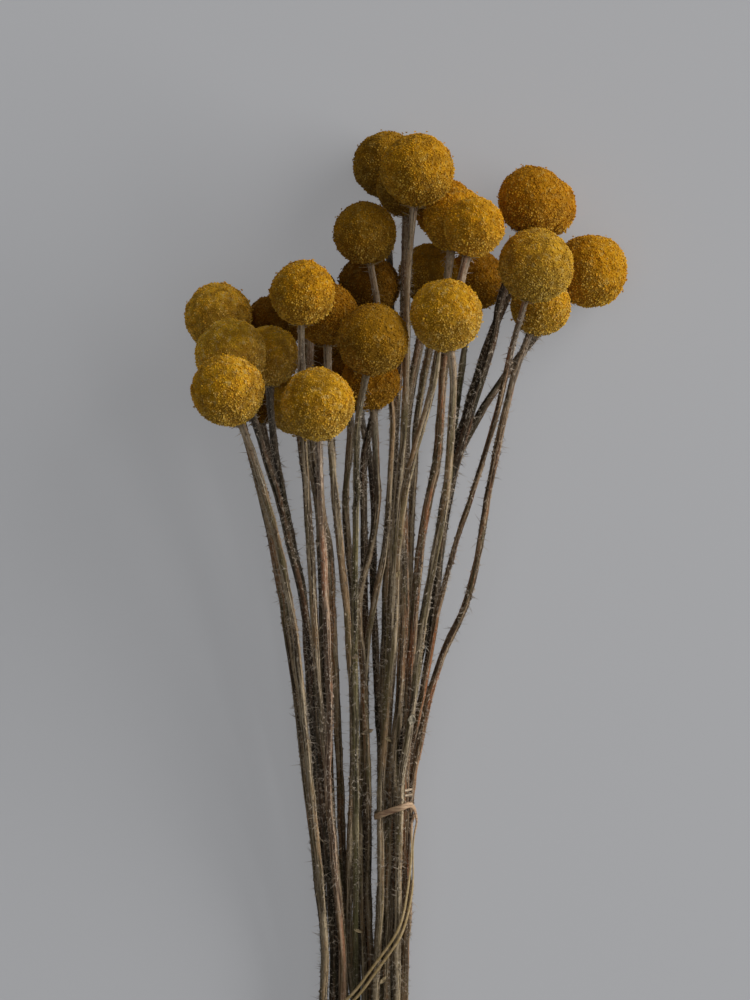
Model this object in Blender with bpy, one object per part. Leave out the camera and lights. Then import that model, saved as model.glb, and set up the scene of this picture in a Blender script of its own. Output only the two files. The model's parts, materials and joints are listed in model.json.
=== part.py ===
"""A bunch of dried billy buttons: thirty-one round flower heads on long thin stems, held by one rubber band.

The bunch lies on a table. +Y runs along the stems from the cut ends to the heads, +X is across the bunch,
and +Z is up from the table. Lengths are worked out in millimetres and the objects are made in metres.
"""

import math
from dataclasses import dataclass

import bpy
import numpy as np
from mathutils import Vector

MM = 0.001

# Stems and heads
STEM_RADIUS = 1.45
STEM_RADIUS_SPREAD = 0.25
HEAD_TO_STEM_GAP = 0.3
HEAD_TO_HEAD_GAP = 0.4
STEM_SPACE = 0.45
HEAD_SIDES = 12
STEM_SIDES = 6
# Rings of a head, as degrees up from its underside. The first one bounds the small flat spot it rests on.
HEAD_RINGS = (12.0, 32.0, 51.0, 70.0, 90.0, 110.0, 129.0, 148.0, 168.0)

# Stations along the bunch, from the heads down to the cut ends
STATIONS = (
    218.0, 204.0, 190.0, 176.0, 162.0, 148.0, 134.0, 118.0, 101.0, 83.0, 64.0, 44.0, 24.0,
    -4.0, -25.0, -46.0, -71.0, -92.0, -110.0, -130.0, -155.0, -182.0, -211.0, -250.0,
)  # fmt: skip
CUT_END = -238.0
CUT_END_SPREAD = 8.0
FINE_STEP = 4.0

# The tied part: slots at the narrowest place, then looser ones at the cut ends
NECK_Y = -71.0
NECK_LEFT = -27.8
NECK_PITCH = 3.35
NECK_LAYER = 3.1
NECK_MIDDLE = -15.0
NECK_MIDDLE_Z = 10.0
BOUND_STATIONS = (-46.0, -71.0, -92.0, -110.0, -130.0)
HITCH_STATIONS = (-4.0, -25.0)
HITCH_SHIFT = 1.0
NECK_LIFT = 3.4
END_PITCH = 5.0
END_LEFT = -39.0
END_LAYER = 3.5
COLUMNS_LEFT = 5
COLUMNS_RIGHT = 3

# How the stems are eased: how hard towards straight lines, their slots and their guides, and how many rounds
EASING = (
    (0.3, 0.2, 0.4, 120), (0.12, 0.1, 0.4, 120), (0.05, 0.03, 0.25, 120), (0.02, 0.005, 0.08, 120),
    (0.0, 0.0, 0.0, 220),
)  # fmt: skip

# The band passes between the stems at two places
BAND_WIDTH = 1.5
BAND_THICKNESS = 0.9
BAND_SPACE = 0.4
HITCH_GAP_X = -12.0
HITCH_GAP_Y = (-46.0, -4.0)
TAIL_GAP_Y = (-132.0, -108.0)
GAP_HALF = 0.95
TAIL_STEMS = 4
STRAND_SPACING = 2.0
BAND_STEP = 2.0
BAND_SMOOTHING = 60
BAND_EASING = 0.3
# The band's course as (turn, y) knots. A turn is in degrees: 0 at the right of the stems, 90 on top of them.
BAND_COURSE = (
    (2.0, -19.0), (5.0, -33.0), (17.0, -42.0), (22.0, -52.0), (27.0, -61.0), (40.0, -68.5), (90.0, -83.0),
    (130.0, -91.0), (160.0, -95.5), (180.0, -98.5), (270.0, -103.0), (360.0, -108.0), (450.0, -113.5),
    (525.0, -117.0),
)  # fmt: skip
HITCH_COURSE = (
    (-9.0, -16.0), (-14.0, -13.5), (-30.0, -13.0), (-90.0, -14.5), (-180.0, -17.5), (-270.0, -14.5),
    (-330.0, -11.5), (-346.0, -12.2), (-351.0, -15.0),
)  # fmt: skip
HOOK_COURSE = ((75.0, -117.6), (180.0, -118.3), (270.0, -119.0), (335.0, -119.6))


@dataclass
class Flower:
    """One flower: the place and size of its head, and where its stem is seen to pass, as (y, x) pairs."""

    name: str
    x: float
    y: float
    radius: float
    passes: tuple = ()
    right: bool = False
    whole: bool = False
    over_stems: bool = False
    z: float = 0.0
    stem_radius: float = STEM_RADIUS
    end_y: float = CUT_END


# In the order in which they come to lie on the table and on each other
FLOWERS = [
    Flower(
        "27", 53.0, 213.5, 12.2,
        ((175, 36), (147, 26.5), (118, 18), (83, 12), (44, 4), (10, -1)),
        right=True,
    ),
    Flower(
        "29", 70.5, 189.0, 14.1,
        ((170, 53), (148, 37), (132, 26.5), (116, 18.5), (79, 12.5), (44, 6), (10, -1)),
        right=True,
    ),
    Flower(
        "30", 51.0, 175.5, 11.7,
        (
            (152, 41.5), (128, 36), (102, 31), (87, 28.5), (72, 26.5), (60, 22.5), (50, 17.5), (39, 11.5),
            (10, 5), (-48, -1.5),
        ),
        right=True, over_stems=True,
    ),
    Flower("25", 26.5, 185.5, 11.8, ((165, 23), (139, 19.5), (117, 17), (64, 8), (10, -3)), right=True),
    Flower(
        "24", 8.5, 187.5, 11.4, ((165, 6.5), (147, 2), (135, 0), (101, -1.5), (64, -0.5), (44, -1.5)), right=True,
    ),
    Flower(
        "19", 15.0, 212.5, 11.8, ((188, 12.5), (158, 9), (138, 4.5), (101, 2.5), (64, 1.5), (44, 0.5)), right=True,
    ),
    Flower("23", -14.0, 182.5, 11.8, ((169, -15), (117, -16.5))),
    Flower(
        "15", -30.5, 160.5, 10.3,
        ((130, -20.5), (109, -22.5), (96, -24), (84, -22.5), (72, -20)),
        whole=True,
    ),
    Flower(
        "11", -20.0, 147.0, 11.4,
        ((135, -16), (124, -14.5), (102, -12), (83, -12.5), (60, -12), (44, -11.4), (10, -10), (-11, -9.2)),
        right=True,
    ),
    Flower("14", -57.0, 142.0, 11.4, ((128, -55), (102, -47.5), (57, -38), (27, -35))),
    Flower("06", -50.0, 169.0, 11.1, ((150, -46), (124, -39), (102, -37.5), (57, -35)), whole=True),
    Flower(
        "01", -71.0, 171.0, 12.9,
        ((139, -64), (105, -55.5), (74, -48.5), (57, -46), (30, -42), (4, -38.5)),
    ),
    Flower("07", -37.0, 178.5, 11.7, ((139, -36.5), (105, -33.5), (84, -29)), whole=True),
    Flower("16", -7.5, 229.5, 13.0, ((118, -4), (101, -5), (83, -6), (64, -7), (44, -8.5)), right=True),
    Flower(
        "18", 0.0, 219.5, 11.3,
        ((207, -0.5), (162, -1), (130, -4), (101, -6), (83, -7), (64, -7.5), (44, -8.3)),
        right=True,
    ),
    Flower("13", -41.5, 137.5, 11.4, ((124, -37.5), (102, -33))),
    Flower("10", -13.5, 146.5, 11.2, ((135, -11.5), (102, -10.5), (88, -12), (64, -18.5))),
    Flower(
        "20", 18.5, 207.0, 12.4, ((156, 12.5), (132, 7), (115, 1.5), (105, -1), (83, -3), (44, -4.5)), right=True,
    ),
    Flower(
        "08", -30.0, 171.0, 12.0,
        ((158, -29.5), (124, -28.5), (102, -26.5), (45, -21), (12, -19.5), (-71, -22.5)),
    ),
    Flower("04", -52.0, 156.0, 11.7, ((130, -51), (102, -46.5), (57, -37))),
    Flower(
        "22", -15.5, 201.5, 12.1,
        ((177, -11), (158, -9), (130, -4.5), (109, -6), (79, -8), (58, -13.5), (34, -16.5), (-7, -16.5)),
    ),
    Flower("02", -65.5, 156.0, 13.4, ((141, -60), (102, -48), (74, -41), (57, -37), (27, -34.5))),
    Flower("26", 47.5, 214.5, 13.2, ((168, 35), (143, 27), (128, 22.5), (102, 15)), right=True),
    Flower(
        "21", 25.0, 203.0, 11.5, ((190, 21), (156, 14), (120, 12), (101, 8), (83, 5), (64, 3.5), (44, 2)), right=True,
    ),
    Flower("05", -38.5, 178.0, 12.2, ((165, -39), (124, -38.5), (90, -36), (57, -35), (12, -31.5))),
    Flower("09", -12.5, 161.0, 13.4, ((147, -17.5), (124, -18.5), (87, -19), (72, -19.5))),
    Flower(
        "28", 48.5, 189.5, 14.2,
        (
            (175, 44.5), (162, 40.5), (147, 37), (132, 33.5), (105, 25.5), (83, 18), (58, 11.5), (42, 9),
            (10, 4),
        ),
        right=True, over_stems=True,
    ),
    Flower(
        "31", 14.5, 170.0, 13.7,
        ((156, 18), (139, 17), (120, 16.5), (102, 15), (72, 9), (57, 6.5), (27, 3), (10, 0.5)),
        right=True, over_stems=True,
    ),
    Flower(
        "03", -66.0, 142.0, 13.6,
        ((130, -60), (109, -54), (90, -48.5), (57, -42), (27, -39), (-11, -35.5)),
        over_stems=True,
    ),
    Flower(
        "12", -33.0, 137.0, 13.7,
        ((123, -32.5), (102, -31.5), (79, -31), (49, -29.5), (27, -28.5), (-11, -30)),
        over_stems=True,
    ),
    Flower(
        "17", 4.0, 224.5, 13.8,
        ((210, 2.5), (195, 1), (180, 0), (154, 0), (117, -1.5), (101, -3.5), (83, -5), (64, -5.5), (44, -6.5)),
        right=True,
    ),
]  # fmt: skip


def seen_x(flower, y):
    """Where a flower's stem passes a station, from its head, its guide and the neck."""
    line = [(flower.y, flower.x), (NECK_Y, NECK_MIDDLE)] + [p for p in flower.passes if p[0] > NECK_Y]
    line.sort()
    return float(np.interp(y, [p[0] for p in line], [p[1] for p in line]))


def settle_heads(flowers):
    """Gives each head its height: it lies on the table, or on the heads and the stems under it."""
    rest = math.cos(math.radians(HEAD_RINGS[0]))
    for index, flower in enumerate(flowers):
        flower.z = flower.radius * rest
        for below in flowers[:index]:
            reach = flower.radius + below.radius + HEAD_TO_HEAD_GAP
            apart = math.hypot(flower.x - below.x, flower.y - below.y)
            if apart < reach:
                flower.z = max(flower.z, below.z + math.sqrt(reach**2 - apart**2))
            if not flower.over_stems or below.y < flower.y + flower.radius:
                continue
            drop = (below.y - flower.y) / (below.y - NECK_Y)
            stem_z = below.z + (NECK_MIDDLE_Z - below.z) * drop
            reach = flower.radius + STEM_RADIUS + STEM_SPACE
            apart = abs(flower.x - seen_x(below, flower.y))
            if apart < reach and stem_z > flower.z:
                flower.z = max(flower.z, stem_z + math.sqrt(reach**2 - apart**2))


def lowest_seen_x(flower):
    """Where a flower's stem lies at the lowest place its guide gives, or a guess from its head."""
    if flower.passes:
        return flower.passes[-1][1]
    return flower.x * 0.5 - 8.0


def slots(flowers):
    """Where each stem sits at the neck and at its cut end: columns left to right, layers from the table up."""
    neck_x = np.zeros(len(flowers))
    neck_z = np.zeros(len(flowers))
    end_x = np.zeros(len(flowers))
    end_z = np.zeros(len(flowers))
    column = 0
    for right, columns in ((False, COLUMNS_LEFT), (True, COLUMNS_RIGHT)):
        group = [i for i, flower in enumerate(flowers) if flower.right == right]
        group.sort(key=lambda i: lowest_seen_x(flowers[i]))
        for members in np.array_split(group, columns):
            stack = sorted(members, key=lambda i: flowers[i].z)
            for layer, i in enumerate(stack):
                shift = 0.5 * (layer % 2)
                neck_x[i] = NECK_LEFT + NECK_PITCH * (column + shift)
                neck_z[i] = NECK_LIFT + STEM_RADIUS + NECK_LAYER * layer
                end_x[i] = END_LEFT + END_PITCH * (column + shift)
                end_z[i] = STEM_RADIUS + END_LAYER * layer
            column += 1
    return neck_x, neck_z, end_x, end_z


class StemField:
    """All the stems together, as points at shared stations, eased apart until no two touch."""

    def __init__(self, flowers):
        self.flowers = flowers
        self.count = len(flowers)
        self.heads = np.array([(f.x, f.y, f.z, f.radius) for f in flowers])
        self.radii = np.array([f.stem_radius for f in flowers])
        self.right = np.array([f.right for f in flowers])
        self.stations = np.array(STATIONS)
        self.free = self.stations[None, :] <= (self.heads[:, 1] - 1.25 * self.heads[:, 3])[:, None]
        self.fine = np.arange(STATIONS[-1], STATIONS[0], FINE_STEP)
        self.weights, self.slopes, self.active = self.interpolation()
        self.points = self.first_guess()
        self.guides, self.guided = self.guide_lines()
        self.pairs = np.triu_indices(self.count, 1)
        self.signs = np.zeros((self.count, len(self.pairs[0])))
        self.signs[self.pairs[0], np.arange(len(self.pairs[0]))] = 1.0
        self.signs[self.pairs[1], np.arange(len(self.pairs[0]))] = -1.0

    def nodes(self, i):
        """Stations of stem i from its head's centre down, as (slot, y): slot 0 is the head's centre."""
        below = [(k + 1, self.stations[k]) for k in range(len(self.stations)) if self.free[i, k]]
        return [(0, self.heads[i, 1])] + below

    def interpolation(self):
        """Weights that give a stem's place and slope at each fine station from its points."""
        shape = (self.count, len(self.fine), len(self.stations) + 1)
        weights = np.zeros(shape)
        slopes = np.zeros(shape)
        active = np.zeros(shape[:2], bool)
        for i in range(self.count):
            nodes = self.nodes(i)
            top = self.heads[i, 1] - self.heads[i, 3] * 0.9
            for (a, ya), (b, yb) in zip(nodes, nodes[1:]):
                for f, y in enumerate(self.fine):
                    if yb <= y < ya or (b == len(self.stations) and y == yb):
                        part = (y - yb) / (ya - yb)
                        weights[i, f, a] = part
                        weights[i, f, b] = 1.0 - part
                        slopes[i, f, a] = 1.0 / (ya - yb)
                        slopes[i, f, b] = -1.0 / (ya - yb)
                        active[i, f] = y < top
        return weights, slopes, active

    def first_guess(self):
        """Straight from the head to the stem's slot at the neck, and on to its slot at the cut end."""
        neck_x, neck_z, end_x, end_z = slots(self.flowers)
        self.slot_targets = np.stack([neck_x, neck_z, end_x, end_z], 1)
        points = np.zeros((self.count, len(self.stations) + 1, 2))
        for i, (x, y, z, _) in enumerate(self.heads):
            points[i, 0] = (x, z)
            at = [self.stations[-1], NECK_Y, y]
            points[i, 1:, 0] = np.interp(self.stations, at, [end_x[i], neck_x[i], x])
            points[i, 1:, 1] = np.interp(self.stations, at, [end_z[i], neck_z[i], z])
        return points

    def guide_lines(self):
        """Where the stems that show are seen to pass."""
        guides = np.zeros((self.count, len(self.stations) + 1))
        guided = np.zeros(guides.shape, bool)
        for i, flower in enumerate(self.flowers):
            if not flower.passes:
                continue
            line = sorted(flower.passes)
            ys = [p[0] for p in line]
            xs = [p[1] for p in line]
            guides[i, 1:] = np.interp(self.stations, ys, xs)
            guided[i, 1:] = self.free[i] & (self.stations >= ys[0] - 9.0) & (self.stations <= ys[-1] + 9.0)
        self.points[..., 0] = np.where(guided, guides, self.points[..., 0])
        return guides, guided

    def ease(self, bending, slotting, guiding):
        """Draws the stems towards straight, smooth lines, their guides and their slots."""
        for i in range(self.count):
            nodes = self.nodes(i)
            slots_of = [n[0] for n in nodes]
            ys = np.array([n[1] for n in nodes])
            line = self.points[i, slots_of]
            part = ((ys[1:-1] - ys[2:]) / (ys[:-2] - ys[2:]))[:, None]
            straight = part * line[:-2] + (1.0 - part) * line[2:]
            line[1:-1] += bending * (straight - line[1:-1])
            self.points[i, slots_of[1:]] = line[1:]
        pull = guiding * self.guided
        self.points[..., 0] += pull * (self.guides - self.points[..., 0])
        neck = 1 + STATIONS.index(NECK_Y)
        self.points[:, neck, 0] += slotting * (self.slot_targets[:, 0] - self.points[:, neck, 0])
        for y in BOUND_STATIONS:
            bound = 1 + STATIONS.index(y)
            self.points[:, bound, 1] += slotting * (self.slot_targets[:, 1] - self.points[:, bound, 1])
        shifted = self.slot_targets[self.right, :2] + (HITCH_SHIFT, 0.0)
        for y in HITCH_STATIONS:
            bound = 1 + STATIONS.index(y)
            self.points[self.right, bound] += 2.0 * slotting * (shifted - self.points[self.right, bound])
        self.points[:, -1] += slotting * (self.slot_targets[:, 2:] - self.points[:, -1])

    def crowding(self):
        """How far each stem is to move, at each fine station, to leave its neighbours and the heads."""
        place = np.einsum("ifk,ikc->ifc", self.weights, self.points)
        slope = np.einsum("ifk,ikc->ifc", self.slopes, self.points)
        one, other = self.pairs
        apart = place[one] - place[other]
        lean = 0.5 * (slope[one] + slope[other])
        along = (apart * lean).sum(-1) ** 2 / (1.0 + (lean**2).sum(-1))
        flat = np.sqrt((apart**2).sum(-1)) + 1e-9
        true = np.sqrt(np.maximum(flat**2 - along, 1e-9))
        need = (self.radii[one] + self.radii[other] + STEM_SPACE)[:, None]
        press = np.where(self.active[one] & self.active[other], np.maximum(need - true, 0.0), 0.0)
        push = np.tensordot(self.signs, (0.5 * press / flat)[..., None] * apart, 1)
        worst = press.max()
        high = self.fine > self.heads[:, 1].min() - self.heads[:, 3].max() - 5.0
        to_head = place[:, None, high] - self.heads[None, :, None, (0, 2)]
        rise = (self.fine[None, high] - self.heads[:, 1][:, None])[None]
        reach = (self.heads[None, :, 3] + self.radii[:, None] + STEM_SPACE)[..., None]
        keep = np.sqrt(np.maximum(reach**2 - rise**2, 0.0))
        flat = np.sqrt((to_head**2).sum(-1)) + 1e-9
        own = np.eye(self.count, dtype=bool)[..., None]
        press = np.where(self.active[:, None, high] & ~own, np.maximum(keep - flat, 0.0), 0.0)
        push[:, high] += ((press / flat)[..., None] * to_head).sum(1)
        return push, worst, press.max()

    def spread(self, push):
        """Hands the pushes found between the stations on to the points at the stations."""
        pushed = (np.abs(push).sum(-1) > 1e-6).astype(float)
        total = np.einsum("ifk,ifc->ikc", self.weights, push)
        share = np.einsum("ifk,if->ik", self.weights**2, pushed)[..., None]
        move = total / np.maximum(share, 0.35)
        size = np.sqrt((move**2).sum(-1, keepdims=True))
        self.points += move * np.minimum(1.0, 1.5 / np.maximum(size, 1e-9)) * 0.6
        self.points[:, 0] = self.heads[:, (0, 2)]

    def hold(self):
        """Keeps the stems above the table, and open where the band passes between them."""
        lift = np.interp(self.stations, [-175.0, -128.0, -10.0, 60.0], [0.0, NECK_LIFT, NECK_LIFT, 0.0])
        lowest = self.radii[:, None] + 0.03 + lift[None, :]
        self.points[:, 1:, 1] = np.maximum(self.points[:, 1:, 1], lowest)
        self.part_at(HITCH_GAP_Y, HITCH_GAP_X, self.right)
        self.part_at(TAIL_GAP_Y, self.tail_x, ~self.tail)

    def part_at(self, between, x, right):
        """Keeps one group of stems right of x and the other left of it, between two stations."""
        for k, y in enumerate(self.stations):
            if not between[0] <= y <= between[1]:
                continue
            reach = GAP_HALF + self.radii
            column = self.points[:, k + 1, 0]
            column[right] = np.maximum(column[right], x + reach[right])
            column[~right] = np.minimum(column[~right], x - reach[~right])

    def solve(self):
        """Eases the stems into place, and then only clears them."""
        order = np.argsort(self.slot_targets[:, 0] + self.slot_targets[:, 2])
        self.tail = np.zeros(self.count, bool)
        self.tail[order[:TAIL_STEMS]] = True
        edge = order[TAIL_STEMS - 1], order[TAIL_STEMS]
        self.tail_x = 0.25 * sum(self.slot_targets[i, 0] + self.slot_targets[i, 2] for i in edge)
        for bending, slotting, guiding, rounds in EASING:
            for _ in range(rounds):
                self.ease(bending, slotting, guiding)
                push, between, from_heads = self.crowding()
                self.spread(push)
                self.hold()
            print("stems crowd by", round(float(between), 3), "and heads by", round(float(from_heads), 3))

    def section(self, y, members):
        """Centres and radii of some stems where they pass a station."""
        low = int(np.searchsorted(-self.stations, -y, side="left"))
        part = (y - self.stations[low]) / (self.stations[low - 1] - self.stations[low])
        centres = part * self.points[:, low] + (1.0 - part) * self.points[:, low + 1]
        return centres[members], self.radii[members]

    def path(self, i):
        """The centre line of stem i, from just under its head to its cut end."""
        nodes = self.nodes(i)
        x, y, z, radius = self.heads[i]
        line = [Vector((self.points[i, k, 0], yk, self.points[i, k, 1])) for k, yk in nodes[1:]]
        centre = Vector((x, y, z))
        top = centre + (line[0] - centre).normalized() * (radius + HEAD_TO_STEM_GAP)
        end_y = self.flowers[i].end_y
        part = (end_y - line[-1].y) / (line[-2].y - line[-1].y)
        line[-1] = line[-1].lerp(line[-2], part)
        return [top] + line


def hull_of(points):
    """The corners of the convex outline of points on a plane, anticlockwise."""
    points = sorted({(round(float(x), 6), round(float(z), 6)) for x, z in points})
    halves = []
    for run in (points, points[::-1]):
        half = []
        for p in run:
            while len(half) > 1:
                a, b = half[-2], half[-1]
                if (b[0] - a[0]) * (p[1] - a[1]) - (b[1] - a[1]) * (p[0] - a[0]) > 0.0:
                    break
                half.pop()
            half.append(p)
        halves.append(half[:-1])
    return halves[0] + halves[1]


class Wrap:
    """Lays a band round a group of stems, a little off them."""

    def __init__(self, field, members):
        self.field = field
        self.members = members

    def outline(self, y):
        """The band's middle line round the group at a station, and the group's middle."""
        centres, radii = self.field.section(y, self.members)
        off = radii + BAND_SPACE + 0.5 * BAND_THICKNESS
        turns = np.radians(np.arange(0.0, 360.0, 12.0))
        circles = centres[:, None] + off[:, None, None] * np.stack([np.cos(turns), np.sin(turns)], 1)[None]
        corners = np.array(hull_of(circles.reshape(-1, 2)))
        middle = 0.5 * (corners.min(0) + corners.max(0))
        return corners, middle

    def at(self, turn, y):
        """The point of the band at a turn in degrees (0 at the right, 90 on top) and its outward direction."""
        corners, middle = self.outline(y)
        ray = np.array([math.cos(math.radians(turn)), math.sin(math.radians(turn))])
        start = corners - middle
        side = np.roll(corners, -1, axis=0) - corners
        cross = side[:, 0] * ray[1] - side[:, 1] * ray[0]
        cross = np.where(np.abs(cross) < 1e-9, 1e-9, cross)
        part = (start[:, 1] * ray[0] - start[:, 0] * ray[1]) / cross
        reach = (side[:, 0] * start[:, 1] - side[:, 1] * start[:, 0]) / cross
        hits = [k for k in range(len(corners)) if -1e-6 <= part[k] <= 1.0 + 1e-6 and reach[k] > 0.0]
        k = min(hits, key=lambda n: abs(part[n] - 0.5))
        point = middle + ray * reach[k]
        outward = Vector((side[k, 1], 0.0, -side[k, 0])).normalized()
        return Vector((point[0], y, point[1])), outward

    def turn_of(self, point):
        """The turn at which a point lies, seen from the group's middle."""
        _, middle = self.outline(point.y)
        return math.degrees(math.atan2(point.z - middle[1], point.x - middle[0]))

    def run(self, knots, step=1.5):
        """Points along a run given as (turn, y) knots."""
        points = []
        for (turn, y), (next_turn, next_y) in zip(knots, knots[1:]):
            here, _ = self.at(turn, y)
            there, _ = self.at(next_turn, next_y)
            pieces = max(2, int(max((there - here).length, abs(next_turn - turn) / 12.0) / step))
            for k in range(pieces):
                part = k / pieces
                points.append(self.at(turn + part * (next_turn - turn), y + part * (next_y - y)))
        points.append(self.at(*knots[-1]))
        return points


def band_points(field):
    """The closed line of the rubber band, as (point, outward) pairs.

    One end is hitched round the stems on the right. From there two strands run side by side down the right of
    the bunch and round all the stems, and the other end is hooked round a few stems on the left.
    """
    flowers = range(len(FLOWERS))
    everything = Wrap(field, list(flowers))
    right = Wrap(field, [i for i in flowers if FLOWERS[i].right])
    tail = Wrap(field, [i for i in flowers if field.tail[i]])
    middle = everything.run(BAND_COURSE)
    strands = []
    for offset in (0.5 * STRAND_SPACING, -0.5 * STRAND_SPACING):
        strand = []
        for k in range(len(middle)):
            along = middle[min(k + 1, len(middle) - 1)][0] - middle[max(k - 1, 0)][0]
            sideways = middle[k][1].cross(along).normalized()
            moved = middle[k][0] + sideways * offset
            strand.append(everything.at(everything.turn_of(moved), moved.y))
        strands.append(strand)
    gap_x = field.tail_x
    arriving = [p for p in strands[0] if p[0].y > HOOK_COURSE[0][1] + 2.0 or p[0].x > gap_x - 1.5]
    leaving = [p for p in strands[1] if p[0].y > HOOK_COURSE[0][1] + 2.0 or p[0].x > gap_x + 1.5]
    hook = tail.run(HOOK_COURSE)
    low = hook[-1][0]
    crest = leaving[-1][0].z - 0.6
    climb = []
    for k in range(1, 8):
        spot = Vector((gap_x, low.y, low.z + (crest - low.z) * k / 7.0))
        climb.append((spot, Vector((1.0, 0.0, 0.0))))
    return arriving + hook + climb + leaving[::-1] + right.run(HITCH_COURSE)


def clear_of_stems(places, field):
    """Moves the band's points off any stem they are too near."""
    starts = []
    ends = []
    reach = []
    for i, flower in enumerate(FLOWERS):
        line = field.path(i)
        for a, b in zip(line, line[1:]):
            if b.y < 20.0 and a.y > -150.0:
                starts.append(a)
                ends.append(b)
                reach.append(flower.stem_radius + 0.5 * BAND_THICKNESS + BAND_SPACE)
    starts = np.array(starts)
    span = np.array(ends) - starts
    off = np.array(places)[:, None] - starts[None]
    part = np.clip((off * span).sum(-1) / (span**2).sum(-1), 0.0, 1.0)
    off -= part[..., None] * span
    far = np.sqrt((off**2).sum(-1)) + 1e-9
    press = np.maximum(np.array(reach) - far, 0.0)
    return ((press / far)[..., None] * off).sum(1)


def clear_of_itself(places):
    """Moves neighbouring strands of the band apart where they come too near."""
    places = np.array(places)
    count = len(places)
    apart = places[:, None] - places[None]
    far = np.sqrt((apart**2).sum(-1)) + 1e-9
    steps = np.abs(np.arange(count)[:, None] - np.arange(count)[None])
    steps = np.minimum(steps, count - steps)
    press = np.where(steps > 5, np.maximum(STRAND_SPACING - far, 0.0), 0.0)
    return 0.5 * ((press / far)[..., None] * apart).sum(1)


def band_rings(field):
    """The band's rings: a flat strip, evenly spaced along its closed line and kept from twisting."""
    line = band_points(field)
    places = [p for p, _ in line]
    outs = [o for _, o in line]
    for k in range(1, len(outs)):
        if outs[k].dot(outs[k - 1]) < -0.2:
            outs[k:] = [-o for o in outs[k:]]
    closing = places + [places[0]]
    lengths = [0.0]
    for a, b in zip(closing, closing[1:]):
        lengths.append(lengths[-1] + (b - a).length)
    count = int(lengths[-1] / BAND_STEP)
    flip = -1.0 if outs[-1].dot(outs[0]) < 0.0 else 1.0
    outs = outs + [outs[0] * flip]
    even = []
    k = 0
    for n in range(count):
        at = lengths[-1] * n / count
        while lengths[k + 1] < at:
            k += 1
        part = (at - lengths[k]) / max(lengths[k + 1] - lengths[k], 1e-9)
        even.append([closing[k].lerp(closing[k + 1], part), outs[k].lerp(outs[k + 1], part)])
    for turn in range(BAND_SMOOTHING):
        smooth = []
        hold = 1.0 - BAND_EASING * (turn < BAND_SMOOTHING - 15)
        for n in range(count):
            before = even[n - 1]
            after = even[(n + 1) % count]
            back = flip if n == 0 else 1.0
            ahead = flip if n == count - 1 else 1.0
            point = even[n][0] * hold + (before[0] + after[0]) * (0.5 * (1.0 - hold))
            out = even[n][1] * 0.8 + before[1] * (0.1 * back) + after[1] * (0.1 * ahead)
            smooth.append([point, out.normalized()])
        even = smooth
        push = clear_of_stems([p for p, _ in even], field) + clear_of_itself([p for p, _ in even])
        even = [[p + Vector(move), o] for (p, o), move in zip(even, push)]
    rings = []
    for n in range(count):
        along = (even[(n + 1) % count][0] - even[n - 1][0]).normalized()
        out = (even[n][1] - along * even[n][1].dot(along)).normalized()
        across = along.cross(out)
        half = 0.5 * BAND_WIDTH
        thick = 0.5 * BAND_THICKNESS
        corners = ((half, thick), (half, -thick), (-half, -thick), (-half, thick))
        rings.append([even[n][0] + across * a + out * b for a, b in corners])
    return rings, flip < 0.0


def finish(name, colour, roughness):
    """A plain dry, matt material."""
    material = bpy.data.materials.new(name)
    material.use_nodes = True
    shader = material.node_tree.nodes["Principled BSDF"]
    shader.inputs["Base Color"].default_value = (*colour, 1.0)
    shader.inputs["Roughness"].default_value = roughness
    shader.inputs["Metallic"].default_value = 0.0
    material.diffuse_color = (*colour, 1.0)
    return material


def add_solid(name, rings, caps, material, parent, half_turn=False):
    """Makes a closed object from rings of points in mm, its origin at the middle of the first ring."""
    origin = sum((Vector(p) for p in rings[0]), Vector()) / len(rings[0])
    sides = len(rings[0])
    verts = [(Vector(p) - origin) * MM for ring in rings for p in ring]
    faces = []
    last = len(rings) if not caps else len(rings) - 1
    for row in range(last):
        following = (row + 1) % len(rings) * sides
        shift = sides // 2 if half_turn and row == len(rings) - 1 else 0
        for side in range(sides):
            beside = (side + 1) % sides
            near = (row * sides + side, row * sides + beside)
            faces.append((*near, following + (beside + shift) % sides, following + (side + shift) % sides))
    if caps:
        faces.append(tuple(reversed(range(sides))))
        faces.append(tuple(range((len(rings) - 1) * sides, len(rings) * sides)))
    mesh = bpy.data.meshes.new(name)
    mesh.from_pydata(verts, [], faces)
    mesh.materials.append(material)
    mesh.update()
    solid = bpy.data.objects.new(name, mesh)
    solid.location = origin * MM
    solid.parent = parent
    bpy.context.scene.collection.objects.link(solid)
    return solid


def ring_about(centre, normal, radius, sides):
    """Points round a centre, in the plane square to a direction that runs mostly along -Y."""
    normal = normal.normalized()
    across = (Vector((1.0, 0.0, 0.0)) - normal * normal.x).normalized()
    up = normal.cross(across)
    ring = []
    for side in range(sides):
        turn = 2.0 * math.pi * (side + 0.5) / sides
        ring.append(centre + (across * math.cos(turn) + up * math.sin(turn)) * radius)
    return ring


def tube_rings(line, radius, sides):
    """Rings along a centre line, each square to the line there."""
    rings = []
    for index, point in enumerate(line):
        before = line[max(index - 1, 0)]
        after = line[min(index + 1, len(line) - 1)]
        rings.append(ring_about(point, after - before, radius, sides))
    return rings


def head_rings(flower):
    """A globe with a small flat spot at its underside and its top."""
    rings = []
    for degrees in HEAD_RINGS:
        polar = math.radians(degrees)
        height = flower.z - flower.radius * math.cos(polar)
        width = flower.radius * math.sin(polar)
        ring = []
        for side in range(HEAD_SIDES):
            turn = 2.0 * math.pi * side / HEAD_SIDES
            ring.append((flower.x + width * math.cos(turn), flower.y + width * math.sin(turn), height))
        rings.append(ring)
    return rings


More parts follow.
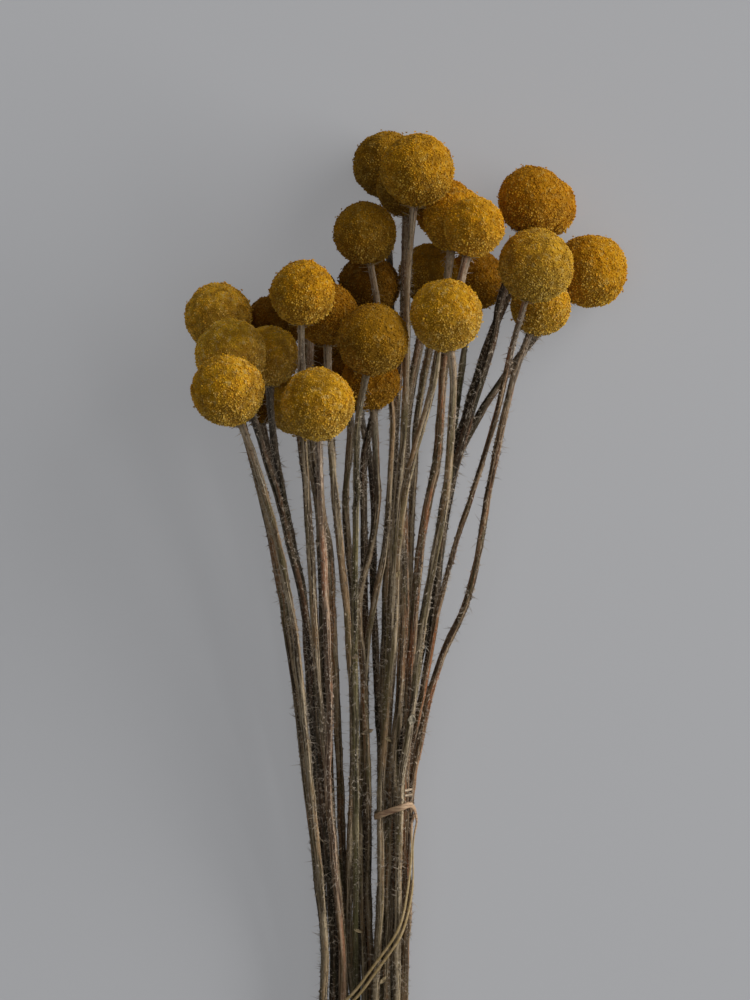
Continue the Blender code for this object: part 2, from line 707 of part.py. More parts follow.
def whole_flower_rings(flower, line):
    """A globe whose stem grows out of it, as rings from the top of the globe to the cut end."""
    centre = Vector((flower.x, flower.y, flower.z))
    axis = (line[0] - centre).normalized()
    rings = []
    for degrees in HEAD_RINGS:
        polar = math.radians(degrees)
        middle = centre - axis * (flower.radius * math.cos(polar))
        rings.append(ring_about(middle, axis, flower.radius * math.sin(polar), HEAD_SIDES))
    return rings + tube_rings(line, flower.stem_radius, HEAD_SIDES)


def centre(bunch):
    """Slides the bunch along the table until the middle of its outline is over the origin."""
    corners = [part.location + vertex.co for part in bunch.children for vertex in part.data.vertices]
    for axis in range(2):
        reach = [corner[axis] for corner in corners]
        bunch.location[axis] = -0.5 * (min(reach) + max(reach))


def build():
    """Clears the scene and builds the bunch."""
    for leftover in list(bpy.data.objects):
        bpy.data.objects.remove(leftover, do_unlink=True)
    draw = np.random.default_rng(31)
    for flower in FLOWERS:
        flower.stem_radius = STEM_RADIUS + STEM_RADIUS_SPREAD * draw.uniform(-1.0, 1.0)
        flower.end_y = CUT_END + CUT_END_SPREAD * draw.uniform(-1.0, 1.0)
    settle_heads(FLOWERS)
    field = StemField(FLOWERS)
    field.solve()
    bunch = bpy.data.objects.new("billy_button_bunch", None)
    bpy.context.scene.collection.objects.link(bunch)
    for i, flower in enumerate(FLOWERS):
        line = field.path(i)
        head_finish = finish("head_" + flower.name, (0.5, 0.32, 0.03), 0.95)
        if flower.whole:
            add_solid("flower_" + flower.name, whole_flower_rings(flower, line), True, head_finish, bunch)
            continue
        stem_finish = finish("stem_" + flower.name, (0.24, 0.19, 0.13), 0.9)
        add_solid("head_" + flower.name, head_rings(flower), True, head_finish, bunch)
        stem = tube_rings(line, flower.stem_radius, STEM_SIDES)
        add_solid("stem_" + flower.name, stem, True, stem_finish, bunch)
    rings, half_turn = band_rings(field)
    add_solid("rubber_band", rings, False, finish("rubber_band", (0.6, 0.42, 0.25), 0.6), bunch, half_turn)
    centre(bunch)


build()
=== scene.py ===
"""A bunch of dried billy buttons lying on a pale floor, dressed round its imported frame.

Each flower is a globe of small dry florets on a thin ribbed stem with pale wool on it, and one rubber band is
hitched and wound round the stems. Lengths in the classes are in millimetres, and meshes are in metres.
"""

import json
import logging
import math
from dataclasses import dataclass, field
from enum import Enum
from typing import Any, NamedTuple, Optional, Union

import bmesh
import bpy
import numpy as np
from mathutils import Matrix, Vector, noise
from mathutils.bvhtree import BVHTree

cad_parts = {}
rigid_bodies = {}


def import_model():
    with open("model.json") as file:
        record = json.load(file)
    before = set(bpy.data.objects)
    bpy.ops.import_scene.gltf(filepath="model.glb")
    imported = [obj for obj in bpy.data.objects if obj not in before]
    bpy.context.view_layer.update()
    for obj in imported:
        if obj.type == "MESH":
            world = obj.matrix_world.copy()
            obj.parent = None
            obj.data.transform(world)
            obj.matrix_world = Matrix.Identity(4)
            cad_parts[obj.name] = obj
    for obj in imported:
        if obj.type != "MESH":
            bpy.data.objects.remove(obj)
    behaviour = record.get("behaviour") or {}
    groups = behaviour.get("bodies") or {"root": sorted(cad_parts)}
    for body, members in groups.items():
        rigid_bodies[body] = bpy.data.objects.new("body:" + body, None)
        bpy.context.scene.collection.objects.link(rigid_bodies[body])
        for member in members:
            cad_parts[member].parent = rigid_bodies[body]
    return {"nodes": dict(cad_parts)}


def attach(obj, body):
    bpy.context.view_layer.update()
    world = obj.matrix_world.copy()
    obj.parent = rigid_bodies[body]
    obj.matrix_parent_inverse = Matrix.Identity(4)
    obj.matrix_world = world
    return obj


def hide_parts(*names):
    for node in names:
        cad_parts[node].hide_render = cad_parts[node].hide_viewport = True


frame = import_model()

LOG = logging.getLogger("billy_buttons")
# A millimetre in metres, and the least height of any piece over the floor in millimetres
MM = 0.001
FLOOR_GAP = 0.05
BODY = "root"
FLOAT = "NodeSocketFloat"
INTEGER = "NodeSocketInt"
VECTOR = "NodeSocketVector"
ROTATION = "NodeSocketRotation"
COLLECTION = "NodeSocketCollection"
MATERIAL = "NodeSocketMaterial"
Colour = tuple[float, float, float]
STRAW: Colour = (0.58, 0.44, 0.24)
STRAW_SHADE: Colour = (0.28, 0.19, 0.09)
PITH: Colour = (0.62, 0.53, 0.38)


# ---------------------------------------------------------------------------------------------------------
# Node trees


class Wire:
    """The output of a node, which takes part in sums as a number does."""

    def __init__(self, book: "NodeBook", socket: bpy.types.NodeSocket) -> None:
        """Keeps the tree and the socket."""
        self.book = book
        self.socket = socket

    def __add__(self, other: "Number") -> "Wire":
        """self + other"""
        return self.book.maths("ADD", self, other)

    def __radd__(self, other: "Number") -> "Wire":
        """other + self"""
        return self.book.maths("ADD", other, self)

    def __sub__(self, other: "Number") -> "Wire":
        """self - other"""
        return self.book.maths("SUBTRACT", self, other)

    def __rsub__(self, other: "Number") -> "Wire":
        """other - self"""
        return self.book.maths("SUBTRACT", other, self)

    def __mul__(self, other: "Number") -> "Wire":
        """self * other"""
        return self.book.maths("MULTIPLY", self, other)

    def __rmul__(self, other: "Number") -> "Wire":
        """other * self"""
        return self.book.maths("MULTIPLY", other, self)

    def __truediv__(self, other: "Number") -> "Wire":
        """self / other"""
        return self.book.maths("DIVIDE", self, other)

    def __rtruediv__(self, other: "Number") -> "Wire":
        """other / self"""
        return self.book.maths("DIVIDE", other, self)

    def __pow__(self, other: "Number") -> "Wire":
        """self to a power"""
        return self.book.maths("POWER", self, other)

    def over(self, level: "Number") -> "Wire":
        """1 where this is more than a level, and 0 elsewhere."""
        return self.book.maths("GREATER_THAN", self, level)


Number = Union[Wire, float]


class NodeBook:
    """Writes nodes into a tree."""

    def __init__(self, tree: bpy.types.NodeTree) -> None:
        """Keeps the tree."""
        self.tree = tree

    def node(
        self, kind: str, settings: Optional[dict[str, Any]] = None, values: Optional[dict[Any, Any]] = None
    ) -> bpy.types.Node:
        """Adds a node of any kind.

        Args:
            kind: the node's type.
            settings: what is set on the node before its sockets are.
            values: a number, a wire or a list of wires for each socket, by its name or its place.

        Returns:
            The new node.
        """
        node = self.tree.nodes.new(kind)
        for name, value in (settings or {}).items():
            setattr(node, name, value)
        sockets = [socket for socket in node.inputs if socket.enabled]
        for key, value in (values or {}).items():
            found = sockets[key] if isinstance(key, int) else next(s for s in sockets if s.name == key)
            self.feed(found, value)
        return node

    def feed(self, socket: bpy.types.NodeSocket, value: Any) -> None:
        """Links a wire to a socket, or sets the socket's own value.

        Args:
            socket: the socket.
            value: a wire, a list of wires or a plain value.
        """
        if isinstance(value, Wire):
            self.tree.links.new(value.socket, socket)
        elif isinstance(value, list):
            for one in value:
                self.tree.links.new(one.socket, socket)
        elif socket.type == "RGBA" and len(value) == 3:
            socket.default_value = (*value, 1.0)
        else:
            socket.default_value = value

    def wire(
        self,
        kind: str,
        settings: Optional[dict[str, Any]] = None,
        values: Optional[dict[Any, Any]] = None,
        output: Union[int, str] = 0,
    ) -> Wire:
        """Adds a node as node() does.

        Args:
            kind: the node's type.
            settings: what is set on the node first.
            values: what its sockets take.
            output: the name or the place of the wanted output among those in use.

        Returns:
            That output.
        """
        node = self.node(kind, settings, values)
        outputs = [socket for socket in node.outputs if socket.enabled]
        if isinstance(output, int):
            return Wire(self, outputs[output])
        return Wire(self, next(socket for socket in outputs if socket.name == output))

    def maths(self, operation: str, *values: Number) -> Wire:
        """Adds a Math node and gives its result."""
        return self.wire("ShaderNodeMath", {"operation": operation}, dict(enumerate(values)))

    def vectors(self, operation: str, *values: Any) -> Wire:
        """Adds a Vector Math node and gives its result."""
        return self.wire("ShaderNodeVectorMath", {"operation": operation}, dict(enumerate(values)))

    def scaled(self, vector: Wire, factor: Number) -> Wire:
        """A vector times a number."""
        return self.wire("ShaderNodeVectorMath", {"operation": "SCALE"}, {"Vector": vector, "Scale": factor})

    def triple(self, x: Number, y: Number, z: Number) -> Wire:
        """A vector from three numbers."""
        return self.wire("ShaderNodeCombineXYZ", values={"X": x, "Y": y, "Z": z})

    def part(self, vector: Wire, axis: str) -> Wire:
        """One part of a vector, X, Y or Z."""
        return self.wire("ShaderNodeSeparateXYZ", values={"Vector": vector}, output=axis)

    def noise(self, vector: Wire, scale: float = 1.0, detail: float = 2.0, roughness: float = 0.5) -> Wire:
        """Smooth noise from 0 to 1 at a place."""
        values = {"Vector": vector, "Scale": scale, "Detail": detail, "Roughness": roughness}
        return self.wire("ShaderNodeTexNoise", values=values)

    def ranged(self, value: Wire, low: float, high: float, bottom: float = 0.0, top: float = 1.0) -> Wire:
        """A value taken smoothly from the range low to high into the range bottom to top, and kept there."""
        values = {"Value": value, "From Min": low, "From Max": high, "To Min": bottom, "To Max": top}
        return self.wire("ShaderNodeMapRange", {"interpolation_type": "SMOOTHSTEP"}, values)


class ShapeBook(NodeBook):
    """A Geometry Nodes tree with named inputs."""

    def __init__(self, name: str) -> None:
        """Makes an empty tree.

        Args:
            name: the tree's name.
        """
        super().__init__(bpy.data.node_groups.new(name, "GeometryNodeTree"))
        self.tree.interface.new_socket("Geometry", in_out="INPUT", socket_type="NodeSocketGeometry")
        self.tree.interface.new_socket("Geometry", in_out="OUTPUT", socket_type="NodeSocketGeometry")
        self.entry = self.tree.nodes.new("NodeGroupInput")
        self.exit = self.tree.nodes.new("NodeGroupOutput")

    def start(self) -> Wire:
        """The geometry that the tree is given."""
        return Wire(self, self.entry.outputs[0])

    def named(self, name: str, kind: str) -> Wire:
        """Adds an input with a name and a socket type, and gives it."""
        self.tree.interface.new_socket(name, in_out="INPUT", socket_type=kind)
        return Wire(self, next(socket for socket in self.entry.outputs if socket.name == name))

    def field(self, kind: str, output: Union[int, str] = 0) -> Wire:
        """What an input node, such as Position or Index, gives."""
        return self.wire(kind, output=output)

    def random(self, low: Number, high: Number, seed: Number) -> Wire:
        """A number drawn for each point between two numbers."""
        values = {"Min": low, "Max": high, "Seed": seed}
        return self.wire("FunctionNodeRandomValue", {"data_type": "FLOAT"}, values)

    def random_vector(self, reach: float, seed: Number) -> Wire:
        """A vector drawn for each point, each part from -reach to reach."""
        values = {"Min": (-reach,) * 3, "Max": (reach,) * 3, "Seed": seed}
        return self.wire("FunctionNodeRandomValue", {"data_type": "FLOAT_VECTOR"}, values)

    def stored(self, geometry: Wire, name: str, value: Wire, kind: str = "FLOAT") -> Wire:
        """The geometry with a named attribute on its points."""
        values = {"Geometry": geometry, "Name": name, "Value": value}
        return self.wire("GeometryNodeStoreNamedAttribute", {"data_type": kind, "domain": "POINT"}, values)

    def attribute(self, name: str, kind: str = "FLOAT") -> Wire:
        """A named attribute's value."""
        return self.wire("GeometryNodeInputNamedAttribute", {"data_type": kind}, {"Name": name})

    def moved(self, geometry: Wire, offset: Wire) -> Wire:
        """The geometry with its points moved."""
        return self.wire("GeometryNodeSetPosition", values={"Geometry": geometry, "Offset": offset})

    def turned(self, rotation: Wire, angles: Wire) -> Wire:
        """A rotation that is turned further about its own axes.

        Args:
            rotation: the rotation.
            angles: the three angles that it is turned by.

        Returns:
            The new rotation.
        """
        further = self.wire("FunctionNodeEulerToRotation", values={"Euler": angles})
        values = {"Rotation": rotation, "Rotate By": further}
        return self.wire("FunctionNodeRotateRotation", {"rotation_space": "LOCAL"}, values)

    def spun(self, rotation: Wire, seed: Number) -> Wire:
        """A rotation with a random turn about its own Z axis."""
        return self.turned(rotation, self.triple(0.0, 0.0, self.random(0.0, 2.0 * math.pi, seed)))

    def strewn(
        self, points: Wire, shapes: Wire, last: float, seed: Number, rotation: Wire, scale: Wire
    ) -> Wire:
        """Sets shapes that are picked at random on points.

        Args:
            points: the points.
            shapes: the collection of the shapes.
            last: the highest place in the collection that is drawn.
            seed: the seed of the draw.
            rotation: how each shape is turned.
            scale: how large each shape is.

        Returns:
            The shapes.
        """
        picked = {"Collection": shapes, "Separate Children": True, "Reset Children": True}
        values = {
            "Points": points,
            "Instance": self.wire("GeometryNodeCollectionInfo", values=picked),
            "Pick Instance": True,
            "Instance Index": self.random(0.0, last, seed),
            "Rotation": rotation,
            "Scale": scale,
        }
        return self.wire("GeometryNodeInstanceOnPoints", values=values)

    def joined(self, *parts: Wire) -> Wire:
        """Several geometries as one."""
        return self.wire("GeometryNodeJoinGeometry", values={"Geometry": list(parts)})

    def smooth(self, geometry: Wire) -> Wire:
        """The geometry with smooth shading."""
        return self.wire("GeometryNodeSetShadeSmooth", values={"Geometry": geometry})

    def end(self, geometry: Wire, finish: Wire) -> None:
        """Ends the tree in real geometry of one finish.

        Args:
            geometry: the geometry, with or without instances.
            finish: the material.
        """
        real = self.wire("GeometryNodeRealizeInstances", values={"Geometry": geometry})
        dressed = self.wire("GeometryNodeSetMaterial", values={"Geometry": real, "Material": finish})
        self.tree.links.new(dressed.socket, self.exit.inputs[0])

    def grown(self, name: str, base: bpy.types.Mesh, values: dict[str, Any]) -> bpy.types.Object:
        """Runs the tree on a mesh.

        Args:
            name: the name of the object.
            base: the mesh that the tree starts from.
            values: a value for each named input.

        Returns:
            An object with the result as its plain mesh.
        """
        piece = placed(name, base)
        modifier = piece.modifiers.new(self.tree.name, "NODES")
        modifier.node_group = self.tree
        for item in self.tree.interface.items_tree:
            if item.in_out == "INPUT" and item.name in values:
                modifier[item.identifier] = values[item.name]
        piece.update_tag()
        mesh = as_mesh(piece)
        piece.modifiers.clear()
        keep_off_the_floor(mesh)
        piece.data = mesh
        mesh.name = name
        bpy.data.meshes.remove(base)
        return piece


def placed(name: str, data: bpy.types.ID) -> bpy.types.Object:
    """A new object in the scene.

    Args:
        name: its name.
        data: its mesh, curve, light or camera.

    Returns:
        The object, at the origin.
    """
    found = bpy.data.objects.new(name, data)
    bpy.context.scene.collection.objects.link(found)
    return found


def as_mesh(shape: bpy.types.Object) -> bpy.types.Mesh:
    """A plain mesh of an object as its modifiers leave it."""
    graph = bpy.context.evaluated_depsgraph_get()
    return bpy.data.meshes.new_from_object(shape.evaluated_get(graph), depsgraph=graph)


def keep_off_the_floor(mesh: bpy.types.Mesh) -> None:
    """Lifts what a mesh has below the floor to just above it.

    Args:
        mesh: the mesh.
    """
    flat = np.empty(len(mesh.vertices) * 3, np.float32)
    mesh.vertices.foreach_get("co", flat)
    heights = flat[2::3]
    np.maximum(heights, FLOOR_GAP * MM, out=heights)
    mesh.vertices.foreach_set("co", flat)


class FinishBook(NodeBook):
    """A material's tree, with its Principled shader."""

    def __init__(self, name: str, plain: Colour) -> None:
        """Makes the material.

        Args:
            name: the material's name.
            plain: the one colour that stands for it where its patterns aren't drawn.
        """
        self.material = bpy.data.materials.new(name)
        self.material.use_nodes = True
        self.material.diffuse_color = (*plain, 1.0)
        super().__init__(self.material.node_tree)
        self.shader = self.tree.nodes["Principled BSDF"]
        self.set(Base_Color=plain)

    def set(self, **values: Any) -> None:
        """Gives the shader's sockets values or wires, with _ for the space in a socket's name."""
        for name, value in values.items():
            self.feed(self.shader.inputs[name.replace("_", " ")], value)

    def attribute(self, name: str, output: str = "Fac") -> Wire:
        """An attribute of the piece."""
        return self.wire("ShaderNodeAttribute", {"attribute_name": name}, output=output)

    def mixed(self, factor: Number, first: Any, second: Any, blend: str = "MIX") -> Wire:
        """A colour between two colours.

        Args:
            factor: 0 for the first and 1 for the second.
            first: a colour or a wire.
            second: a colour or a wire.
            blend: how they are blended.

        Returns:
            The colour.
        """
        settings = {
            "data_type": "RGBA",
            "blend_type": blend,
            "clamp_factor": True,
            "clamp_result": True,
        }
        return self.wire("ShaderNodeMix", settings, {"Factor": factor, "A": first, "B": second})

    def bump(self, height: Wire, strength: float, distance: float) -> None:
        """Raises the surface by a height, at a strength and over a distance in millimetres."""
        values = {"Strength": strength, "Distance": distance * MM, "Height": height}
        self.set(Normal=self.wire("ShaderNodeBump", values=values))


# ---------------------------------------------------------------------------------------------------------
# Finishes


@dataclass(frozen=True)
class HeadFinish:
    """The colours of a dried head, from its crown to its dark stains, with painted shade deep between its
    florets and in its hollows.

    Attributes:
        crown: the colour at the crown.
        flank: the paler colour towards the stem.
        dark_and_painted_shade: the dark colour of its stains and dull florets, also painted as shade deep
            between the florets and in the hollows.
        fuzz: the colour of the pale down.
    """

    crown: Colour
    flank: Colour
    dark_and_painted_shade: Colour
    fuzz: Colour

    def material(self, name: str) -> bpy.types.Material:
        """Makes the material.

        Args:
            name: the material's name.

        Returns:
            The material.
        """
        book = FinishBook(name, self.crown)
        spot = book.attribute("spot", "Vector")
        tint = book.attribute("tint")
        lift = book.attribute("lift")
        hollow = book.attribute("hollow")
        rise = book.attribute("rise")
        shade = book.attribute("shade")
        patches = book.noise(spot, 2.1, 2.0, 0.6)
        stains = book.noise(spot, 6.0, 4.0, 0.68)
        grain = book.noise(spot, 34.0, 2.0, 0.7)
        height = rise + (patches - 0.5) * 2.2
        ground = book.mixed(book.ranged(height, -0.75, 0.7), self.flank, self.crown)
        ground = book.mixed(book.ranged(stains, 0.52, 0.66, 0.0, 0.6), ground, self.fuzz)
        ground = book.mixed(book.ranged(stains, 0.47, 0.31, 0.0, 0.55), ground, self.dark_and_painted_shade)
        downy = book.ranged(height, 0.6, -0.7, 0.2, 1.0)
        bright = book.ranged(tint, 0.5, 1.0, 0.0, 0.5) * book.ranged(grain, 0.35, 0.65, 0.2, 1.0) * downy
        ground = book.mixed(bright, ground, self.fuzz)
        dull = book.ranged(tint, 0.4, 0.0, 0.0, 0.6) * downy
        ground = book.mixed(dull, ground, self.dark_and_painted_shade)
        # painted shade: darker in the hollows between the lumps and in the pits between the florets
        painted_valley_shade = book.ranged(hollow, 0.1, 1.0, 0.0, 0.55)
        ground = book.mixed(painted_valley_shade, ground, self.dark_and_painted_shade)
        # painted shade: darker towards the foot of each floret and in an open floret's mouth
        painted_floret_shade = book.ranged(lift, 0.6, 0.0, 0.0, 0.4)
        ground = book.mixed(painted_floret_shade, ground, self.dark_and_painted_shade)
        # painted light: the colour is scaled by the head's shade, which is raised for heads that lie in
        # shadow
        ground = book.mixed(1.0, ground, shade, "MULTIPLY")
        straw = book.mixed(book.ranged(grain, 0.35, 0.65), STRAW_SHADE, STRAW)
        ground = book.mixed(book.attribute("wool"), ground, straw)
        book.set(Base_Color=ground, Roughness=0.9, Sheen_Weight=0.28, Sheen_Roughness=0.5)
        book.set(Sheen_Tint=(*self.fuzz, 1.0), Specular_IOR_Level=0.08)
        book.bump(book.noise(spot, 60.0, 2.0, 0.7), 0.4, 0.2)
        return book.material


class HeadTone(Enum):
    """How far a head has dried and faded; the palest copy is painted light for heads that lie in shadow, and
    the darkest is partly painted shade for heads at the back.
    """

    # A lighter copy of the lemon tone, painted light for heads that lie in shadow
    PAINTED_LIGHT = HeadFinish((0.94, 0.560, 0.026), (0.92, 0.620, 0.110), (0.34, 0.160, 0.010), (0.96, 0.82, 0.40))
    LEMON = HeadFinish((0.88, 0.470, 0.014), (0.84, 0.530, 0.070), (0.27, 0.120, 0.005), (0.94, 0.76, 0.30))
    GOLD = HeadFinish((0.87, 0.430, 0.010), (0.80, 0.470, 0.042), (0.26, 0.105, 0.004), (0.92, 0.68, 0.19))
    ORANGE = HeadFinish((0.82, 0.368, 0.007), (0.76, 0.415, 0.030), (0.25, 0.088, 0.003), (0.90, 0.62, 0.15))
    PALE = HeadFinish((0.82, 0.455, 0.022), (0.76, 0.490, 0.065), (0.26, 0.128, 0.012), (0.90, 0.71, 0.27))
    OLIVE = HeadFinish((0.56, 0.275, 0.010), (0.48, 0.275, 0.030), (0.16, 0.070, 0.004), (0.66, 0.47, 0.14))
    AMBER = HeadFinish((0.60, 0.260, 0.008), (0.56, 0.290, 0.022), (0.16, 0.060, 0.003), (0.70, 0.46, 0.12))
    # Brown, and darkened further with painted shade for heads at the back
    UMBER_PAINTED_SHADE = HeadFinish((0.36, 0.150, 0.006), (0.32, 0.155, 0.012), (0.10, 0.038, 0.002), (0.46, 0.30, 0.08))


@dataclass(frozen=True)
class StemFinish:
    """The colours of a dried stem.

    Attributes:
        rib: the colour on the ribs.
        groove_shade_and_dark: the dark colour of the dark patches and specks, also painted as shade along the
            sunken streaks.
        blush: the colour of the stained stretches.
        bruise_and_foot_shade: the colour of the darker, greener stretches, also painted as shade towards the
            lower end of the bunch.
        felt: the colour of the felt on its skin.
        wool: the colour of the hairs.
    """

    rib: Colour
    groove_shade_and_dark: Colour
    blush: Colour
    bruise_and_foot_shade: Colour
    felt: Colour = (0.70, 0.60, 0.47)
    wool: Colour = (0.54, 0.455, 0.355)

    def material(self, name: str) -> bpy.types.Material:
        """Makes the material.

        Args:
            name: the material's name.

        Returns:
            The material.
        """
        book = FinishBook(name, self.blush)
        lie = book.attribute("lie", "Vector")
        wool = book.attribute("wool")
        fine = book.noise(book.vectors("MULTIPLY", lie, (3000.0, 3000.0, 45.0)), 1.0, 2.0, 0.6)
        broad = book.noise(book.vectors("MULTIPLY", lie, (1100.0, 1100.0, 28.0)), 1.0, 2.0, 0.6)
        patches = book.noise(book.vectors("MULTIPLY", lie, (380.0, 380.0, 30.0)), 1.0, 3.0, 0.65)
        bruises = book.noise(book.vectors("MULTIPLY", lie, (500.0, 500.0, 44.0)), 1.0, 3.0, 0.65)
        specks = book.noise(book.vectors("MULTIPLY", lie, (1400.0, 1400.0, 620.0)), 1.0, 3.0, 0.7)
        streaks = fine * 0.4 + broad * 0.6
        # painted shade: darker where the streaks sink in the bump, as in furrows; the streaks are also the
        # stem's own pale and dark streaks
        ground = book.mixed(book.ranged(streaks, 0.44, 0.56), self.groove_shade_and_dark, self.rib)
        stained = book.ranged(patches, 0.50, 0.62, 0.0, 0.95) * book.ranged(streaks, 0.4, 0.5, 0.3, 1.0)
        ground = book.mixed(stained, ground, self.blush)
        ground = book.mixed(book.ranged(bruises, 0.51, 0.64, 0.0, 0.9), ground, self.bruise_and_foot_shade)
        ground = book.mixed(book.ranged(patches, 0.46, 0.33, 0.0, 0.9), ground, self.groove_shade_and_dark)
        felted = book.ranged(bruises, 0.6, 0.35, 0.25, 1.0)
        ground = book.mixed(book.ranged(specks, 0.55, 0.67, 0.0, 0.8) * felted, ground, self.felt)
        ground = book.mixed(book.ranged(specks, 0.44, 0.31, 0.0, 0.85), ground, self.groove_shade_and_dark)
        along = book.attribute("along")
        neck = book.ranged(along, 0.040, 0.004, 0.0, 0.24) * book.ranged(specks, 0.35, 0.55, 0.4, 1.0)
        ground = book.mixed(neck, ground, self.felt)
        ground = book.mixed(wool, ground, self.wool)
        # painted shade: the stems turn darker and greener towards the lower end of the bunch
        foot = book.part(book.wire("ShaderNodeTexCoord", output="Object"), "Y")
        ground = book.mixed(book.ranged(foot, 0.0, -0.16, 0.0, 0.45), ground, self.bruise_and_foot_shade)
        facing = book.wire("ShaderNodeNewGeometry", output="True Normal")
        cut = book.part(facing, "Y") * -1.0
        pith = book.mixed(book.ranged(specks, 0.4, 0.6), self.rib, PITH)
        ground = book.mixed(book.ranged(cut, 0.9, 0.97) * (1.0 - wool), ground, pith)
        book.set(Base_Color=ground, Roughness=0.8, Sheen_Weight=0.1, Sheen_Roughness=0.5)
        book.set(Sheen_Tint=(*self.wool, 1.0), Specular_IOR_Level=0.25)
        book.bump(streaks * 1.5 + specks * 0.5, 1.0, 0.45)
        return book.material


class StemTone(Enum):
    """How a stem has dried; the darkest tone is partly painted shade for stems in the shade of the bunch."""

    PALE = StemFinish(
        (0.60, 0.470, 0.300), (0.070, 0.046, 0.025), (0.42, 0.265, 0.135), (0.19, 0.147, 0.064)
    )
    MEDIUM = StemFinish(
        (0.40, 0.295, 0.178), (0.044, 0.028, 0.015), (0.31, 0.155, 0.068), (0.12, 0.098, 0.043)
    )
    # Dark, and darkened further with painted shade for stems in the shade of the bunch
    DARK = StemFinish(
        (0.16, 0.114, 0.069), (0.016, 0.010, 0.006), (0.13, 0.064, 0.030), (0.045, 0.037, 0.017)
    )
    PINK = StemFinish(
        (0.54, 0.373, 0.243), (0.075, 0.042, 0.024), (0.41, 0.190, 0.098), (0.19, 0.122, 0.058)
    )
    OLIVE = StemFinish(
        (0.34, 0.277, 0.153), (0.040, 0.030, 0.014), (0.23, 0.186, 0.076), (0.11, 0.098, 0.036)
    )
    RUSSET = StemFinish(
        (0.37, 0.247, 0.141), (0.047, 0.025, 0.012), (0.34, 0.126, 0.046), (0.10, 0.074, 0.033)
    )


# ---------------------------------------------------------------------------------------------------------
# Small shapes that the trees repeat


